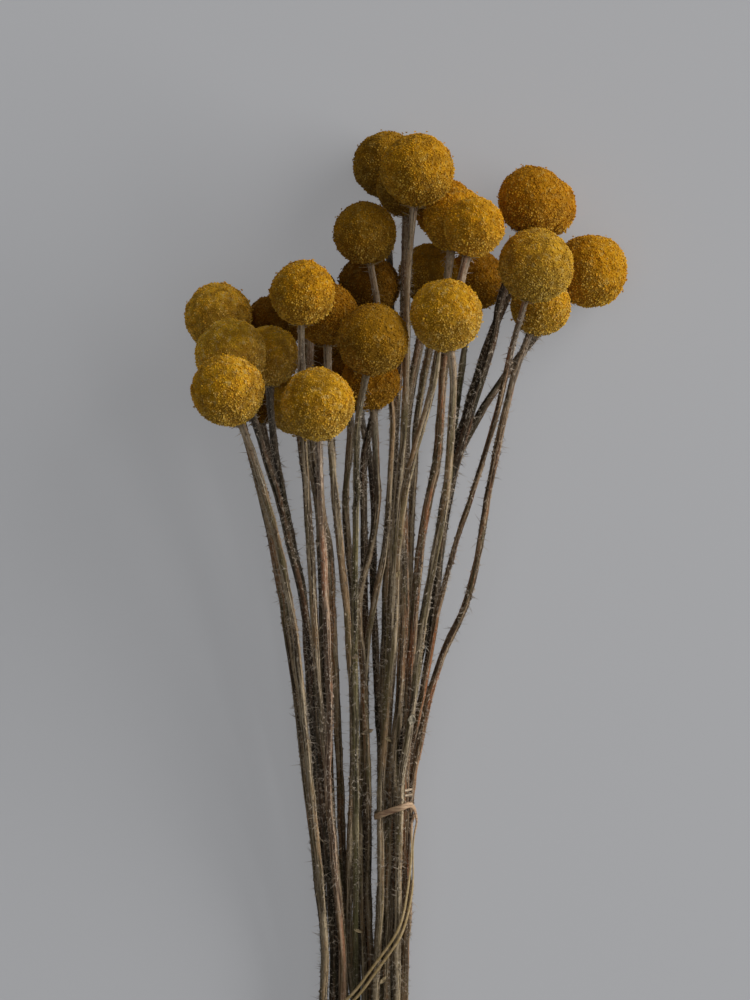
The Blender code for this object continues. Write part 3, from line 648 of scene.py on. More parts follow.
class Seedbed:
    """Small shapes that are repeated over the heads and the stems, kept in collections."""

    def __init__(self) -> None:
        """Makes the collections of florets, bracts and wool."""
        self.florets = self.collection("florets", [self.open_floret(), self.bud(), self.spike()])
        self.bracts = self.collection("bracts", [self.bract()])
        wool = [self.hair(0.9), self.hair(0.1), self.flake(), self.hair(0.6), self.curl(0.25), self.tuft()]
        self.wool = self.collection("wool", wool)

    def clear(self) -> None:
        """Takes the collections away once everything has grown."""
        for kept in (self.florets, self.bracts, self.wool):
            for one in list(kept.objects):
                bpy.data.objects.remove(one)
            bpy.data.collections.remove(kept)

    @staticmethod
    def collection(name: str, shapes: list[bpy.types.Mesh]) -> bpy.types.Collection:
        """Keeps shapes in a collection that no scene shows.

        Args:
            name: the collection's name.
            shapes: the meshes.

        Returns:
            The collection.
        """
        found = bpy.data.collections.new(name)
        for place, shape in enumerate(shapes):
            found.objects.link(bpy.data.objects.new(f"{name}_{place}", shape))
        return found

    @staticmethod
    def lathe(
        name: str,
        rings: list[tuple[float, float]],
        sides: int,
        tip: float,
        attributes: dict[str, list[float]],
        based: bool = True,
    ) -> bpy.types.Mesh:
        """A small shape of rings about the Z axis.

        Args:
            name: the mesh's name.
            rings: the radius and the height of each ring, from the foot up.
            sides: how many corners a ring has.
            tip: the height of the middle point that closes the top.
            attributes: the name of each attribute, and its value for each ring and then for the tip.
            based: whether its foot is closed, which a hair's needn't be.

        Returns:
            The mesh.
        """
        verts = []
        for radius, height in rings:
            for side in range(sides):
                turn = 2.0 * math.pi * side / sides
                verts.append((radius * math.cos(turn), radius * math.sin(turn), height))
        verts.append((0.0, 0.0, tip))
        faces = [tuple(reversed(range(sides)))] if based else []
        for row in range(len(rings) - 1):
            for side in range(sides):
                near = row * sides + side
                beside = row * sides + (side + 1) % sides
                faces.append((near, beside, beside + sides, near + sides))
        top = (len(rings) - 1) * sides
        for side in range(sides):
            faces.append((top + side, top + (side + 1) % sides, len(verts) - 1))
        mesh = bpy.data.meshes.new(name)
        mesh.from_pydata(verts, [], faces)
        for key, values in attributes.items():
            layer = mesh.attributes.new(key, "FLOAT", "POINT")
            spread = [value for value in values[:-1] for _ in range(sides)] + [values[-1]]
            layer.data.foreach_set("value", spread)
        return mesh

    def open_floret(self) -> bpy.types.Mesh:
        """A floret whose mouth is open."""
        return self.lathe("open_floret", [(0.42, 0.0), (0.60, 0.92)], 3, 0.6, {"lift": [0.0, 1.0, 0.5]})

    def bud(self) -> bpy.types.Mesh:
        """A floret that stayed closed."""
        return self.lathe("bud", [(0.66, 0.0)], 4, 1.0, {"lift": [0.0, 1.0]})

    def spike(self) -> bpy.types.Mesh:
        """A thin dry floret."""
        return self.lathe("spike", [(0.66, 0.0)], 3, 1.25, {"lift": [0.0, 1.0]})

    def hair(self, wool: float) -> bpy.types.Mesh:
        """A straight hair, one unit long, as pale as its wool value."""
        return self.lathe("hair", [(0.045, 0.0)], 3, 1.0, {"wool": [wool, wool]}, based=False)

    def curl(self, bend: float) -> bpy.types.Mesh:
        """A hair of the wool, one unit long, that bends to one side.

        Args:
            bend: how far its tip bends, as a share of its length.

        Returns:
            The mesh.
        """
        rings = [(0.036, 0.0), (0.03, 0.5)]
        mesh = self.lathe("curl", rings, 3, 1.0, {"wool": [0.8, 1.0, 1.0]}, based=False)
        for vertex in mesh.vertices:
            vertex.co.x += bend * vertex.co.z**2
        return mesh

    def flake(self) -> bpy.types.Mesh:
        """A flake of felted wool."""
        return self.lathe("flake", [(0.20, 0.0)], 5, 0.14, {"wool": [0.3, 0.7]}, based=False)

    def tuft(self) -> bpy.types.Mesh:
        """A few hairs that grow from one place.

        Returns:
            The mesh.
        """
        shape = bmesh.new()
        for turn in range(5):
            hair = self.hair(0.9)
            reach = 0.5 + 0.1 * turn
            lean = Matrix.Rotation(2.4 * turn, 4, "Z") @ Matrix.Rotation(0.5 + 0.17 * turn, 4, "X")
            hair.transform(lean @ Matrix.Diagonal((1.0, 1.0, reach, 1.0)))
            shape.from_mesh(hair)
            bpy.data.meshes.remove(hair)
        mesh = bpy.data.meshes.new("tuft")
        shape.to_mesh(mesh)
        shape.free()
        return mesh

    @staticmethod
    def bract() -> bpy.types.Mesh:
        """A dry bract that lies along X, bent over a globe, one unit long.

        Returns:
            The mesh.
        """
        mesh = bpy.data.meshes.new("bract")
        places = [(0.0, 0.10), (0.3, 0.17), (0.65, 0.14), (0.92, 0.05)]
        verts = []
        for x, half in places:
            z = -0.2 * x * x + 0.16 * x**4 + 0.05
            verts += [(x, -half, z), (x, 0.0, z + 0.045), (x, half, z), (x, 0.0, z - 0.02)]
        verts.append((1.0, 0.0, 0.03))
        faces = [(0, 1, 2, 3)]
        for row in range(len(places) - 1):
            for side in range(4):
                near = row * 4 + side
                beside = row * 4 + (side + 1) % 4
                faces.append((near, near + 4, beside + 4, beside))
        last = (len(places) - 1) * 4
        for side in range(4):
            faces.append((last + side, len(verts) - 1, last + (side + 1) % 4))
        mesh.from_pydata(verts, [], faces)
        layer = mesh.attributes.new("wool", "FLOAT", "POINT")
        layer.data.foreach_set("value", [1.0] * len(verts))
        return mesh


# ---------------------------------------------------------------------------------------------------------
# The flowers


@dataclass
class HeadTree:
    """The rule by which a head is covered in florets.

    Attributes:
        pitch: the least distance between two florets, in millimetres.
        floret: a floret's height and width, in millimetres.
        sink: how far the globe under the florets lies below the head's surface, in millimetres.
        lump: how far apart the lumps of a head are, in millimetres.
        pit: how far apart the pits between the florets are, in millimetres.
        crowd: the most florets on a square millimetre.
        bracts: how many dry bracts sit round the neck.
        collar: the radius of the ring that the bracts grow from, in millimetres.
        bract_lengths: the shortest and the longest bract, in millimetres.
        book: the tree.
    """

    pitch: float = 0.64
    floret: float = 0.80
    sink: float = 0.50
    lump: float = 3.4
    pit: float = 1.3
    crowd: float = 9.0
    bracts: int = 11
    collar: float = 1.4
    bract_lengths: tuple[float, float] = (2.3, 4.1)
    book: ShapeBook = field(init=False)

    def __post_init__(self) -> None:
        """Builds the tree."""
        book = self.book = ShapeBook("flower_head")
        radius = book.named("Radius", FLOAT)
        pitch = book.named("Floret Pitch", FLOAT)
        size = book.named("Floret Size", FLOAT)
        uneven = book.named("Unevenness", FLOAT)
        lump = book.named("Lump Height", FLOAT)
        lump_size = book.named("Lump Size", FLOAT)
        rough = book.named("Roughness", FLOAT)
        shade = book.named("Shade", FLOAT)
        seed = book.named("Seed", INTEGER)
        centre = book.named("Centre", VECTOR)
        turn = book.named("Turn", ROTATION)
        florets = book.named("Florets", COLLECTION)
        bracts = book.named("Bracts", COLLECTION)
        finish = book.named("Finish", MATERIAL)

        values = {"Radius": radius - self.sink * MM, "Subdivisions": 4}
        globe = book.wire("GeometryNodeMeshIcoSphere", values=values)
        place = book.field("GeometryNodeInputPosition")
        outward = book.vectors("NORMALIZE", place)
        shift = book.triple(seed * 3.7, seed * 1.3, seed * 2.9)
        broad = book.noise(book.vectors("ADD", book.scaled(outward, 1.25), shift), 1.0, 1.0)
        in_lumps = book.vectors("ADD", book.scaled(outward, radius / lump_size), shift)
        values = {"Vector": in_lumps, "Scale": 1.0, "Smoothness": 0.25}
        cell = book.wire("ShaderNodeTexVoronoi", {"feature": "SMOOTH_F1"}, values)
        height = (broad - 0.5) * uneven + (0.45 - cell) * lump
        globe = book.moved(globe, book.scaled(outward, height))
        # hollow marks the valleys between the lumps, which the head's finish darkens as painted shade
        globe = book.stored(globe, "hollow", book.ranged(cell, 0.42, 0.72) * lump * (1.0 / MM))

        values = {
            "Mesh": globe,
            "Distance Min": pitch,
            "Density Max": self.crowd / MM**2,
            "Density Factor": 1.0,
            "Seed": seed,
        }
        dots = book.wire("GeometryNodeDistributePointsOnFaces", {"distribute_method": "POISSON"}, values)
        dots = book.stored(dots, "tint", book.random(0.0, 1.0, seed + 1.0))
        in_pits = book.vectors("ADD", book.scaled(outward, radius / (self.pit * MM)), shift)
        pits = book.ranged(book.noise(in_pits, 1.0, 1.0), 0.50, 0.34) * rough
        pits = pits * book.ranged(book.part(outward, "Z"), 0.0, 0.9, 1.0, 0.2)
        # the pits join hollow, so the finish darkens them as painted shade too
        dots = book.stored(dots, "hollow", book.attribute("hollow") + pits * 0.9)
        astray = book.random(0.0, 1.0, seed + 2.0).over(0.98) * book.random(0.1 * MM, 1.2 * MM, seed + 3.0)
        push = book.random(-0.22 * MM, 0.16 * MM, seed + 4.0) + astray - pits * (0.45 * MM)
        dots = book.moved(dots, book.scaled(outward, push))
        lean = book.vectors("ADD", outward, book.random_vector(0.5, seed + 5.0))
        upright = book.wire("FunctionNodeAlignRotationToVector", {"axis": "Z"}, {"Vector": lean})
        upright = book.spun(upright, seed + 6.0)
        width = size * book.random(0.7, 1.3, seed + 7.0)
        crowning = book.ranged(book.part(outward, "Z"), 0.0, 0.9, 1.05, 0.6)
        tall = size * book.random(0.45, 0.95, seed + 8.0) * crowning
        cover = book.strewn(dots, florets, 2.999, seed + 9.0, upright, book.triple(width, width, tall))
        whole = book.joined(book.smooth(globe), cover)
        whole = book.wire("GeometryNodeRealizeInstances", values={"Geometry": whole})
        spot = book.vectors("ADD", book.scaled(place, 1.0 / radius), shift)
        whole = book.stored(whole, "spot", spot, "FLOAT_VECTOR")
        whole = book.stored(whole, "rise", book.part(outward, "Z"))
        whole = book.stored(whole, "shade", shade)

        values = {"Vertices": self.bracts, "Radius": self.collar * MM}
        ring = book.wire("GeometryNodeMeshCircle", values=values)
        foot = book.random(-0.8 * MM, 0.3 * MM, seed + 10.0) - radius * 0.975
        ring = book.moved(ring, book.triple(0.0, 0.0, foot))
        along = book.vectors("MULTIPLY", place, (1.0, 1.0, 0.0))
        settings = {"primary_axis": "Z", "secondary_axis": "X"}
        facing = {"Primary Axis": book.vectors("NORMALIZE", place), "Secondary Axis": along}
        shortest, longest = self.bract_lengths
        reach = book.random(shortest * MM, longest * MM, seed + 11.0)
        values = {
            "Points": ring,
            "Instance": book.wire("GeometryNodeCollectionInfo", values={"Collection": bracts}),
            "Rotation": book.wire("FunctionNodeAxesToRotation", settings, facing),
            "Scale": book.scaled(book.triple(1.0, 1.0, 1.0), reach),
        }
        collar = book.wire("GeometryNodeInstanceOnPoints", values=values)
        values = {"Geometry": book.joined(whole, collar), "Translation": centre, "Rotation": turn}
        book.end(book.wire("GeometryNodeTransform", values=values), finish)


@dataclass
class StemTree:
    """The rule by which a rod becomes a ribbed, woolly stem.

    Attributes:
        step: the distance between two rings, in millimetres.
        sides: how many corners a ring has.
        rib: how far the ribs stand out, as a share of the radius.
        wobble: how far the stem strays from its course, in millimetres.
        hairs: how many hairs grow on a square millimetre.
        shortest: the length of the shortest hairs, in millimetres.
        longer: how much longer the longest hairs are, in millimetres.
        hair_widths: the least and the greatest width of a hair's frame, in millimetres.
        book: the tree.
    """

    step: float = 4.5
    sides: int = 12
    rib: float = 0.26
    wobble: float = 0.7
    hairs: float = 0.53
    shortest: float = 0.6
    longer: float = 3.8
    hair_widths: tuple[float, float] = (1.6, 3.6)
    book: ShapeBook = field(init=False)

    def __post_init__(self) -> None:
        """Builds the tree."""
        book = self.book = ShapeBook("woolly_stem")
        radius = book.named("Radius", FLOAT)
        seed = book.named("Seed", INTEGER)
        wool = book.named("Wool", COLLECTION)
        finish = book.named("Finish", MATERIAL)

        line = book.wire("GeometryNodeMeshToCurve", values={"Mesh": book.start()})
        line = book.wire("GeometryNodeCurveSplineType", {"spline_type": "CATMULL_ROM"}, {"Curve": line})
        values = {"Curve": line, "Length": self.step * MM}
        line = book.wire("GeometryNodeResampleCurve", {"mode": "LENGTH"}, values)
        length = book.field("GeometryNodeSplineParameter", "Length")
        line = book.stored(line, "along", length)
        shift = book.triple(seed * 5.3, seed * 2.1, seed * 3.9)
        place = book.field("GeometryNodeInputPosition")
        path = book.vectors("ADD", book.scaled(place, 42.0), shift)
        values = {"Vector": path, "Scale": 1.0, "Detail": 2.0, "Roughness": 0.6}
        stray = book.wire("ShaderNodeTexNoise", values=values, output="Color")
        stray = book.vectors("MULTIPLY", book.vectors("SUBTRACT", stray, (0.5, 0.5, 0.5)), (1.0, 0.25, 1.0))
        line = book.moved(line, book.scaled(stray, self.wobble * MM * 2.0))
        wave = book.noise(book.triple(length * 95.0, seed * 1.7, 0.0), 1.0, 2.0)
        girth = radius * book.ranged(wave, 0.2, 0.8, 0.88, 1.16)
        girth = girth * (1.0 + book.ranged(length, 0.006, 0.0, 0.0, 0.22))

        values = {"Resolution": self.sides, "Radius": 1.0}
        ring = book.wire("GeometryNodeCurvePrimitiveCircle", {"mode": "RADIUS"}, values)
        ring = book.stored(ring, "round", book.field("GeometryNodeSplineParameter", "Factor"))
        ribs = book.random(-self.rib, self.rib, seed + 1.0)
        ring = book.moved(ring, book.scaled(place, ribs * 0.6))
        values = {"Curve": line, "Profile Curve": ring, "Scale": girth, "Fill Caps": True}
        stem = book.wire("GeometryNodeCurveToMesh", values=values)
        turn = book.attribute("round") * (2.0 * math.pi)
        across = book.maths("COSINE", turn) * radius
        upward = book.maths("SINE", turn) * radius
        lie = book.triple(across, upward, book.attribute("along") + seed * 0.71)
        stem = book.stored(stem, "lie", lie, "FLOAT_VECTOR")
        lie = book.attribute("lie", "FLOAT_VECTOR")
        furrow = book.noise(book.vectors("MULTIPLY", lie, (900.0, 900.0, 70.0)), 1.0, 2.0)
        normal = book.field("GeometryNodeInputNormal")
        stem = book.smooth(book.moved(stem, book.scaled(normal, (furrow - 0.5) * (0.7 * MM))))

        patch = book.noise(book.vectors("MULTIPLY", lie, (120.0, 120.0, 45.0)), 1.0, 2.0)
        density = book.ranged(patch, 0.42, 0.66, 0.25, 2.6) * (self.hairs / MM**2)
        values = {"Mesh": stem, "Density": density, "Seed": seed}
        dots = book.wire("GeometryNodeDistributePointsOnFaces", {"distribute_method": "RANDOM"}, values)
        self.grow_wool(book, stem, dots, wool, seed, finish)

    def grow_wool(
        self, book: ShapeBook, stem: Wire, dots: Wire, wool: Wire, seed: Wire, finish: Wire
    ) -> None:
        """Sets hairs and flakes of wool on the stem and ends the tree.

        Args:
            book: the tree.
            stem: the stem's surface.
            dots: the places of the hairs.
            wool: the collection of hairs and flakes.
            seed: the stem's seed.
            finish: the stem's finish.
        """
        upright = Wire(book, dots.socket.node.outputs["Rotation"])
        leaning = book.turned(upright, book.random_vector(0.95, seed + 2.0))
        leaning = book.spun(leaning, seed + 3.0)
        long = book.random(0.0, 1.0, seed + 4.0) ** 4.0
        long = long * (self.longer * MM) + self.shortest * MM
        thinnest, widest = self.hair_widths
        wide = book.random(thinnest * MM, widest * MM, seed + 5.0)
        cover = book.strewn(dots, wool, 5.3, seed + 6.0, leaning, book.triple(wide, wide, long))
        book.end(book.joined(stem, cover), finish)


def corners_of(node: str) -> np.ndarray:
    """The distinct corners of a CAD node.

    Args:
        node: its name.

    Returns:
        A row for each corner, in metres.
    """
    mesh = frame["nodes"][node].data
    flat = np.empty(len(mesh.vertices) * 3, np.float32)
    mesh.vertices.foreach_get("co", flat)
    return np.unique(np.round(flat.reshape(-1, 3).astype(float), 6), axis=0)


@dataclass
class Flower:
    """One flower, with its place read from its CAD nodes.

    Attributes:
        name: its number as text.
        head_tone: how its head has dried.
        stem_tone: how its stem has dried.
        shade: how bright its head is, raised as painted light for heads that lie in shadow, such as 01, 02,
            04 and 13.
        lump: how lumpy its head is, in millimetres.
        rough: how deep the pits between its florets are, from 0 to 1.
        uneven: how far its head strays from a globe, in millimetres.
        joined: whether its head and its stem are one CAD node.
        centre: the middle of its head, in metres.
        radius: its head's radius, in metres.
        course: the middle line of its stem from the head down, in metres.
        stem_radius: its stem's radius, in metres.
        WHOLE_SIDES: how many corners a ring of a joined node's stem has.
        STEM_SIDES: how many corners a ring of a stem's node has.
        GLOBE_DEPTH: how much of a joined node, from its top down, is head alone, in millimetres.
        CLEARANCE: how far from the head a corner is the stem's, in millimetres.
        ROOT_DEPTH: how deep the stem runs into the head, in millimetres.
        SLIMMING: how thick the stem is, as a share of the CAD's.
    """

    WHOLE_SIDES = 12
    STEM_SIDES = 6
    GLOBE_DEPTH = 13.0
    CLEARANCE = 0.1
    ROOT_DEPTH = 2.2
    SLIMMING = 0.9

    name: str
    head_tone: HeadTone
    stem_tone: StemTone
    shade: float = 1.0
    lump: float = 0.7
    rough: float = 0.8
    uneven: float = 1.5
    joined: bool = field(init=False)
    centre: Vector = field(init=False)
    radius: float = field(init=False)
    course: np.ndarray = field(init=False)
    stem_radius: float = field(init=False)

    def __post_init__(self) -> None:
        """Reads the globe and the stem's course from the CAD."""
        whole = f"flower_{self.name}"
        self.joined = whole in frame["nodes"]
        if self.joined:
            corners = corners_of(whole)
            globe = corners[corners[:, 1] > corners[:, 1].max() - self.GLOBE_DEPTH * MM]
            self.fit_globe(globe)
            away = np.linalg.norm(corners - np.array(self.centre), axis=1)
            self.fit_stem(corners[away > self.radius + self.CLEARANCE * MM], self.WHOLE_SIDES)
        else:
            self.fit_globe(corners_of(f"head_{self.name}"))
            self.fit_stem(corners_of(f"stem_{self.name}"), self.STEM_SIDES)

    def fit_globe(self, corners: np.ndarray) -> None:
        """Finds the globe that runs through some corners.

        Args:
            corners: the corners.
        """
        rows = np.c_[2.0 * corners, np.ones(len(corners))]
        solved = np.linalg.lstsq(rows, (corners**2).sum(axis=1), rcond=None)[0]
        self.centre = Vector(solved[:3])
        self.radius = math.sqrt(solved[3] + float(solved[:3] @ solved[:3]))

    def fit_stem(self, corners: np.ndarray, sides: int) -> None:
        """Finds the middle of each ring of corners, from the head down.

        Args:
            corners: the corners of the stem.
            sides: how many corners a ring has.
        """
        ordered = corners[np.argsort(-corners[:, 1])]
        rings = ordered[: len(ordered) // sides * sides].reshape(-1, sides, 3)
        self.course = rings.mean(axis=1)
        middle = rings[len(rings) // 2]
        self.stem_radius = float(np.linalg.norm(middle - middle.mean(axis=0), axis=1).mean())

    @property
    def node(self) -> str:
        """The CAD node that holds the head."""
        return f"flower_{self.name}" if self.joined else f"head_{self.name}"

    @property
    def stem_node(self) -> str:
        """The CAD node that holds the stem."""
        return f"flower_{self.name}" if self.joined else f"stem_{self.name}"

    def grow_head(self, tree: HeadTree, bed: Seedbed, finish: bpy.types.Material) -> bpy.types.Object:
        """Covers the globe with florets.

        Args:
            tree: the rule.
            bed: the florets and bracts.
            finish: the head's material.

        Returns:
            The piece.
        """
        crown = (self.centre - Vector(self.course[0])).normalized()
        turn = Vector((0.0, 0.0, 1.0)).rotation_difference(crown).to_euler()
        values = {
            "Radius": self.radius,
            "Floret Pitch": tree.pitch * MM,
            "Floret Size": tree.floret * MM,
            "Unevenness": self.uneven * MM,
            "Lump Height": self.lump * MM,
            "Lump Size": tree.lump * MM,
            "Roughness": self.rough,
            "Shade": self.shade,
            "Seed": int(self.name),
            "Centre": tuple(self.centre),
            "Turn": tuple(turn),
            "Florets": bed.florets,
            "Bracts": bed.bracts,
            "Finish": finish,
        }
        piece = tree.book.grown(f"dried_head_{self.name}", bpy.data.meshes.new("start"), values)
        return ride(piece, "flower_head", self.node)

    def grow_stem(self, tree: StemTree, bed: Seedbed, finish: bpy.types.Material) -> bpy.types.Object:
        """Grows the stem along its course and into the head.

        Args:
            tree: the rule.
            bed: the wool.
            finish: the stem's material.

        Returns:
            The piece.
        """
        towards = (Vector(self.course[0]) - self.centre).normalized()
        inside = self.centre + towards * (self.radius - self.ROOT_DEPTH * MM)
        points = [tuple(inside)] + [tuple(point) for point in self.course]
        base = bpy.data.meshes.new("course")
        base.from_pydata(points, [(i, i + 1) for i in range(len(points) - 1)], [])
        values = {
            "Radius": self.stem_radius * self.SLIMMING,
            "Seed": int(self.name),
            "Wool": bed.wool,
            "Finish": finish,
        }
        piece = tree.book.grown(f"woolly_stem_{self.name}", base, values)
        return ride(piece, "dry_stem", self.stem_node)


def ride(piece: bpy.types.Object, slot: str, node: Optional[str] = None) -> bpy.types.Object:
    """Lets a piece ride on the bunch.

    Args:
        piece: the piece.
        slot: the record's slot, which is only logged.
        node: the CAD node that it replaces, where there is one.

    Returns:
        The piece.
    """
    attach(piece, BODY)
    if node is not None:
        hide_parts(node)
    LOG.info("%s: slot %s, CAD node %s, %d faces", piece.name, slot, node, len(piece.data.polygons))
    return piece


@dataclass
class Bunch:
    """All the flowers of the bunch.

    Attributes:
        heads: the rule for the heads.
        stems: the rule for the stems.
        flowers: the flowers.
    """

    heads: HeadTree = field(default_factory=HeadTree)
    stems: StemTree = field(default_factory=StemTree)
    flowers: list[Flower] = field(default_factory=list)

    def __post_init__(self) -> None:
        """Lists the flowers with the tones of their heads and stems."""
        head, stem = HeadTone, StemTone
        # Each row: number, head tone, stem tone, then shade, lump and rough where given; shade raises some
        # heads in shadow, such as 01, 02, 04 and 13, as painted light
        rows = (
            ("01", head.PALE, stem.MEDIUM, 1.24, 1.1, 1.0),
            ("02", head.PAINTED_LIGHT, stem.DARK, 1.04, 0.9, 1.0),
            ("03", head.LEMON, stem.PALE, 1.08, 0.9, 0.9),
            ("04", head.PAINTED_LIGHT, stem.DARK, 1.10, 0.9, 1.0),
            ("05", head.GOLD, stem.PALE, 0.96, 0.9, 1.0),
            ("06", head.UMBER_PAINTED_SHADE, stem.MEDIUM),
            ("07", head.UMBER_PAINTED_SHADE, stem.MEDIUM),
            ("08", head.AMBER, stem.PALE, 0.95, 0.5, 0.3),
            ("09", head.OLIVE, stem.OLIVE),
            ("10", head.AMBER, stem.MEDIUM, 1.1),
            ("11", head.UMBER_PAINTED_SHADE, stem.DARK),
            ("12", head.LEMON, stem.PINK, 1.0, 0.9, 0.9),
            ("13", head.PAINTED_LIGHT, stem.MEDIUM, 1.05, 0.8, 1.0),
            ("14", head.UMBER_PAINTED_SHADE, stem.RUSSET),
            ("15", head.UMBER_PAINTED_SHADE, stem.MEDIUM),
            ("16", head.OLIVE, stem.DARK, 1.0, 1.1, 1.0),
            ("17", head.GOLD, stem.PALE, 0.91, 0.8, 0.7),
            ("18", head.OLIVE, stem.MEDIUM),
            ("19", head.ORANGE, stem.PALE, 1.0, 1.0, 1.0),
            ("20", head.GOLD, stem.PALE, 1.04),
            ("21", head.GOLD, stem.RUSSET, 1.05),
            ("22", head.OLIVE, stem.PALE),
            ("23", head.UMBER_PAINTED_SHADE, stem.DARK),
            ("24", head.OLIVE, stem.MEDIUM),
            ("25", head.AMBER, stem.OLIVE),
            ("26", head.ORANGE, stem.DARK, 0.84),
            ("27", head.ORANGE, stem.DARK, 0.95),
            ("28", head.PALE, stem.RUSSET, 0.96, 0.9, 0.6),
            ("29", head.GOLD, stem.DARK, 0.95),
            ("30", head.LEMON, stem.RUSSET),
            ("31", head.LEMON, stem.PALE, 1.0, 0.7, 0.6),
        )
        self.flowers = [Flower(*row) for row in rows]

    def build(self) -> list[bpy.types.Object]:
        """Grows every head and stem.

        Returns:
            The stems.
        """
        bed = Seedbed()
        head_finishes = {tone: tone.value.material(f"head_{tone.name.lower()}") for tone in HeadTone}
        stem_finishes = {tone: tone.value.material(f"stem_{tone.name.lower()}") for tone in StemTone}
        stems = []
        for flower in self.flowers:
            flower.grow_head(self.heads, bed, head_finishes[flower.head_tone])
            stems.append(flower.grow_stem(self.stems, bed, stem_finishes[flower.stem_tone]))
        bed.clear()
        return stems


# ---------------------------------------------------------------------------------------------------------
# The rubber band


@dataclass
class RubberBand:
    """The rubber band, a smoothed copy of its CAD solid.

    Attributes:
        tan: its colour where it is hitched.
        yellow: its colour where it is stretched.
        worn: its colour where it has faded.
        groove_shade_and_dark: the dark colour painted as shade between its strands at the hitch.
        swell: how much wider it gets at the hitch, in millimetres.
        thin: how much thinner it gets where it is stretched, in millimetres.
        tilt: how far the hitch drops to the left, as a share of its run.
        edge: how far inside the band's right edge the drop begins, in millimetres.
        change: where along the bunch it changes from stretched to hitched, in millimetres.
        fade: where along the bunch its colour does, in millimetres.
    """

    tan: Colour = (0.56, 0.36, 0.21)
    yellow: Colour = (0.34, 0.235, 0.085)
    worn: Colour = (0.62, 0.46, 0.27)
    groove_shade_and_dark: Colour = (0.20, 0.09, 0.05)
    swell: float = 1.1
    thin: float = 0.2
    tilt: float = 0.22
    edge: float = 3.0
    change: tuple[float, float] = (-28.0, -18.0)
    fade: tuple[float, float] = (-30.0, -18.0)

    def build(self) -> bpy.types.Object:
        """Makes the band and dresses it.

        Returns:
            The piece.
        """
        mesh = frame["nodes"]["rubber_band"].data.copy()
        shape = bmesh.new()
        shape.from_mesh(mesh)
        bmesh.ops.remove_doubles(shape, verts=shape.verts, dist=0.01 * MM)
        bmesh.ops.join_triangles(
            shape, faces=shape.faces, angle_face_threshold=1.0, angle_shape_threshold=1.6, cmp_materials=False
        )
        for face in shape.faces:
            face.smooth = True
        shape.to_mesh(mesh)
        shape.free()
        right = max(vertex.co.x for vertex in mesh.vertices) - self.edge * MM
        low, high = self.change
        for vertex in mesh.vertices:
            gain = min(max((vertex.co.y / MM - low) / (high - low), 0.0), 1.0)
            vertex.co -= vertex.normal * (1.0 - gain) * self.thin * MM
            vertex.co.y += vertex.normal.y * gain * self.swell * MM
            vertex.co.y -= gain * self.tilt * max(right - vertex.co.x, 0.0)
        mesh.materials.clear()
        mesh.materials.append(self.material())
        band = placed("stretched_band", mesh)
        rounding = band.modifiers.new("rounding", "SUBSURF")
        rounding.levels = 1
        rounding.render_levels = 1
        return ride(band, "rubber_band", "rubber_band")

    def material(self) -> bpy.types.Material:
        """Makes rubber that is tan at the hitch and yellow where it is stretched, with painted shade between
        its strands at the hitch.

        Returns:
            The material.
        """
        book = FinishBook("old_rubber", self.tan)
        place = book.wire("ShaderNodeTexCoord", output="Object")
        up = book.part(place, "Y")
        mottle = book.noise(place, 700.0, 3.0)
        lines = book.noise(book.vectors("MULTIPLY", place, (90.0, 2600.0, 300.0)), 1.0, 2.0)
        low, high = self.fade
        hitched = book.ranged(up, low * MM, high * MM)
        ground = book.mixed(hitched, self.yellow, self.tan)
        ground = book.mixed(book.ranged(mottle, 0.35, 0.7, 0.0, 0.5), ground, self.worn)
        # painted shade: darker between the strands at the hitch
        ground = book.mixed(hitched * book.ranged(lines, 0.52, 0.36, 0.0, 0.75), ground, self.groove_shade_and_dark)
        book.set(Base_Color=ground, Roughness=0.6)
        book.bump(lines * hitched + mottle * 0.4, 0.8, 0.3)
        return book.material


# ---------------------------------------------------------------------------------------------------------
# Litter


class Scrap(NamedTuple):
    """A scrap of dry leaf or wool that lies on the stems.

    Attributes:
        name: its name.
        place: where it is over the floor, in millimetres.
        length: how long it is, in millimetres.
        width: how wide it is, in millimetres.
        turn: how far it is turned about the vertical, in degrees.
        tone: its colour.
    """

    name: str
    place: tuple[float, float]
    length: float
    width: float
    turn: float
    tone: Colour


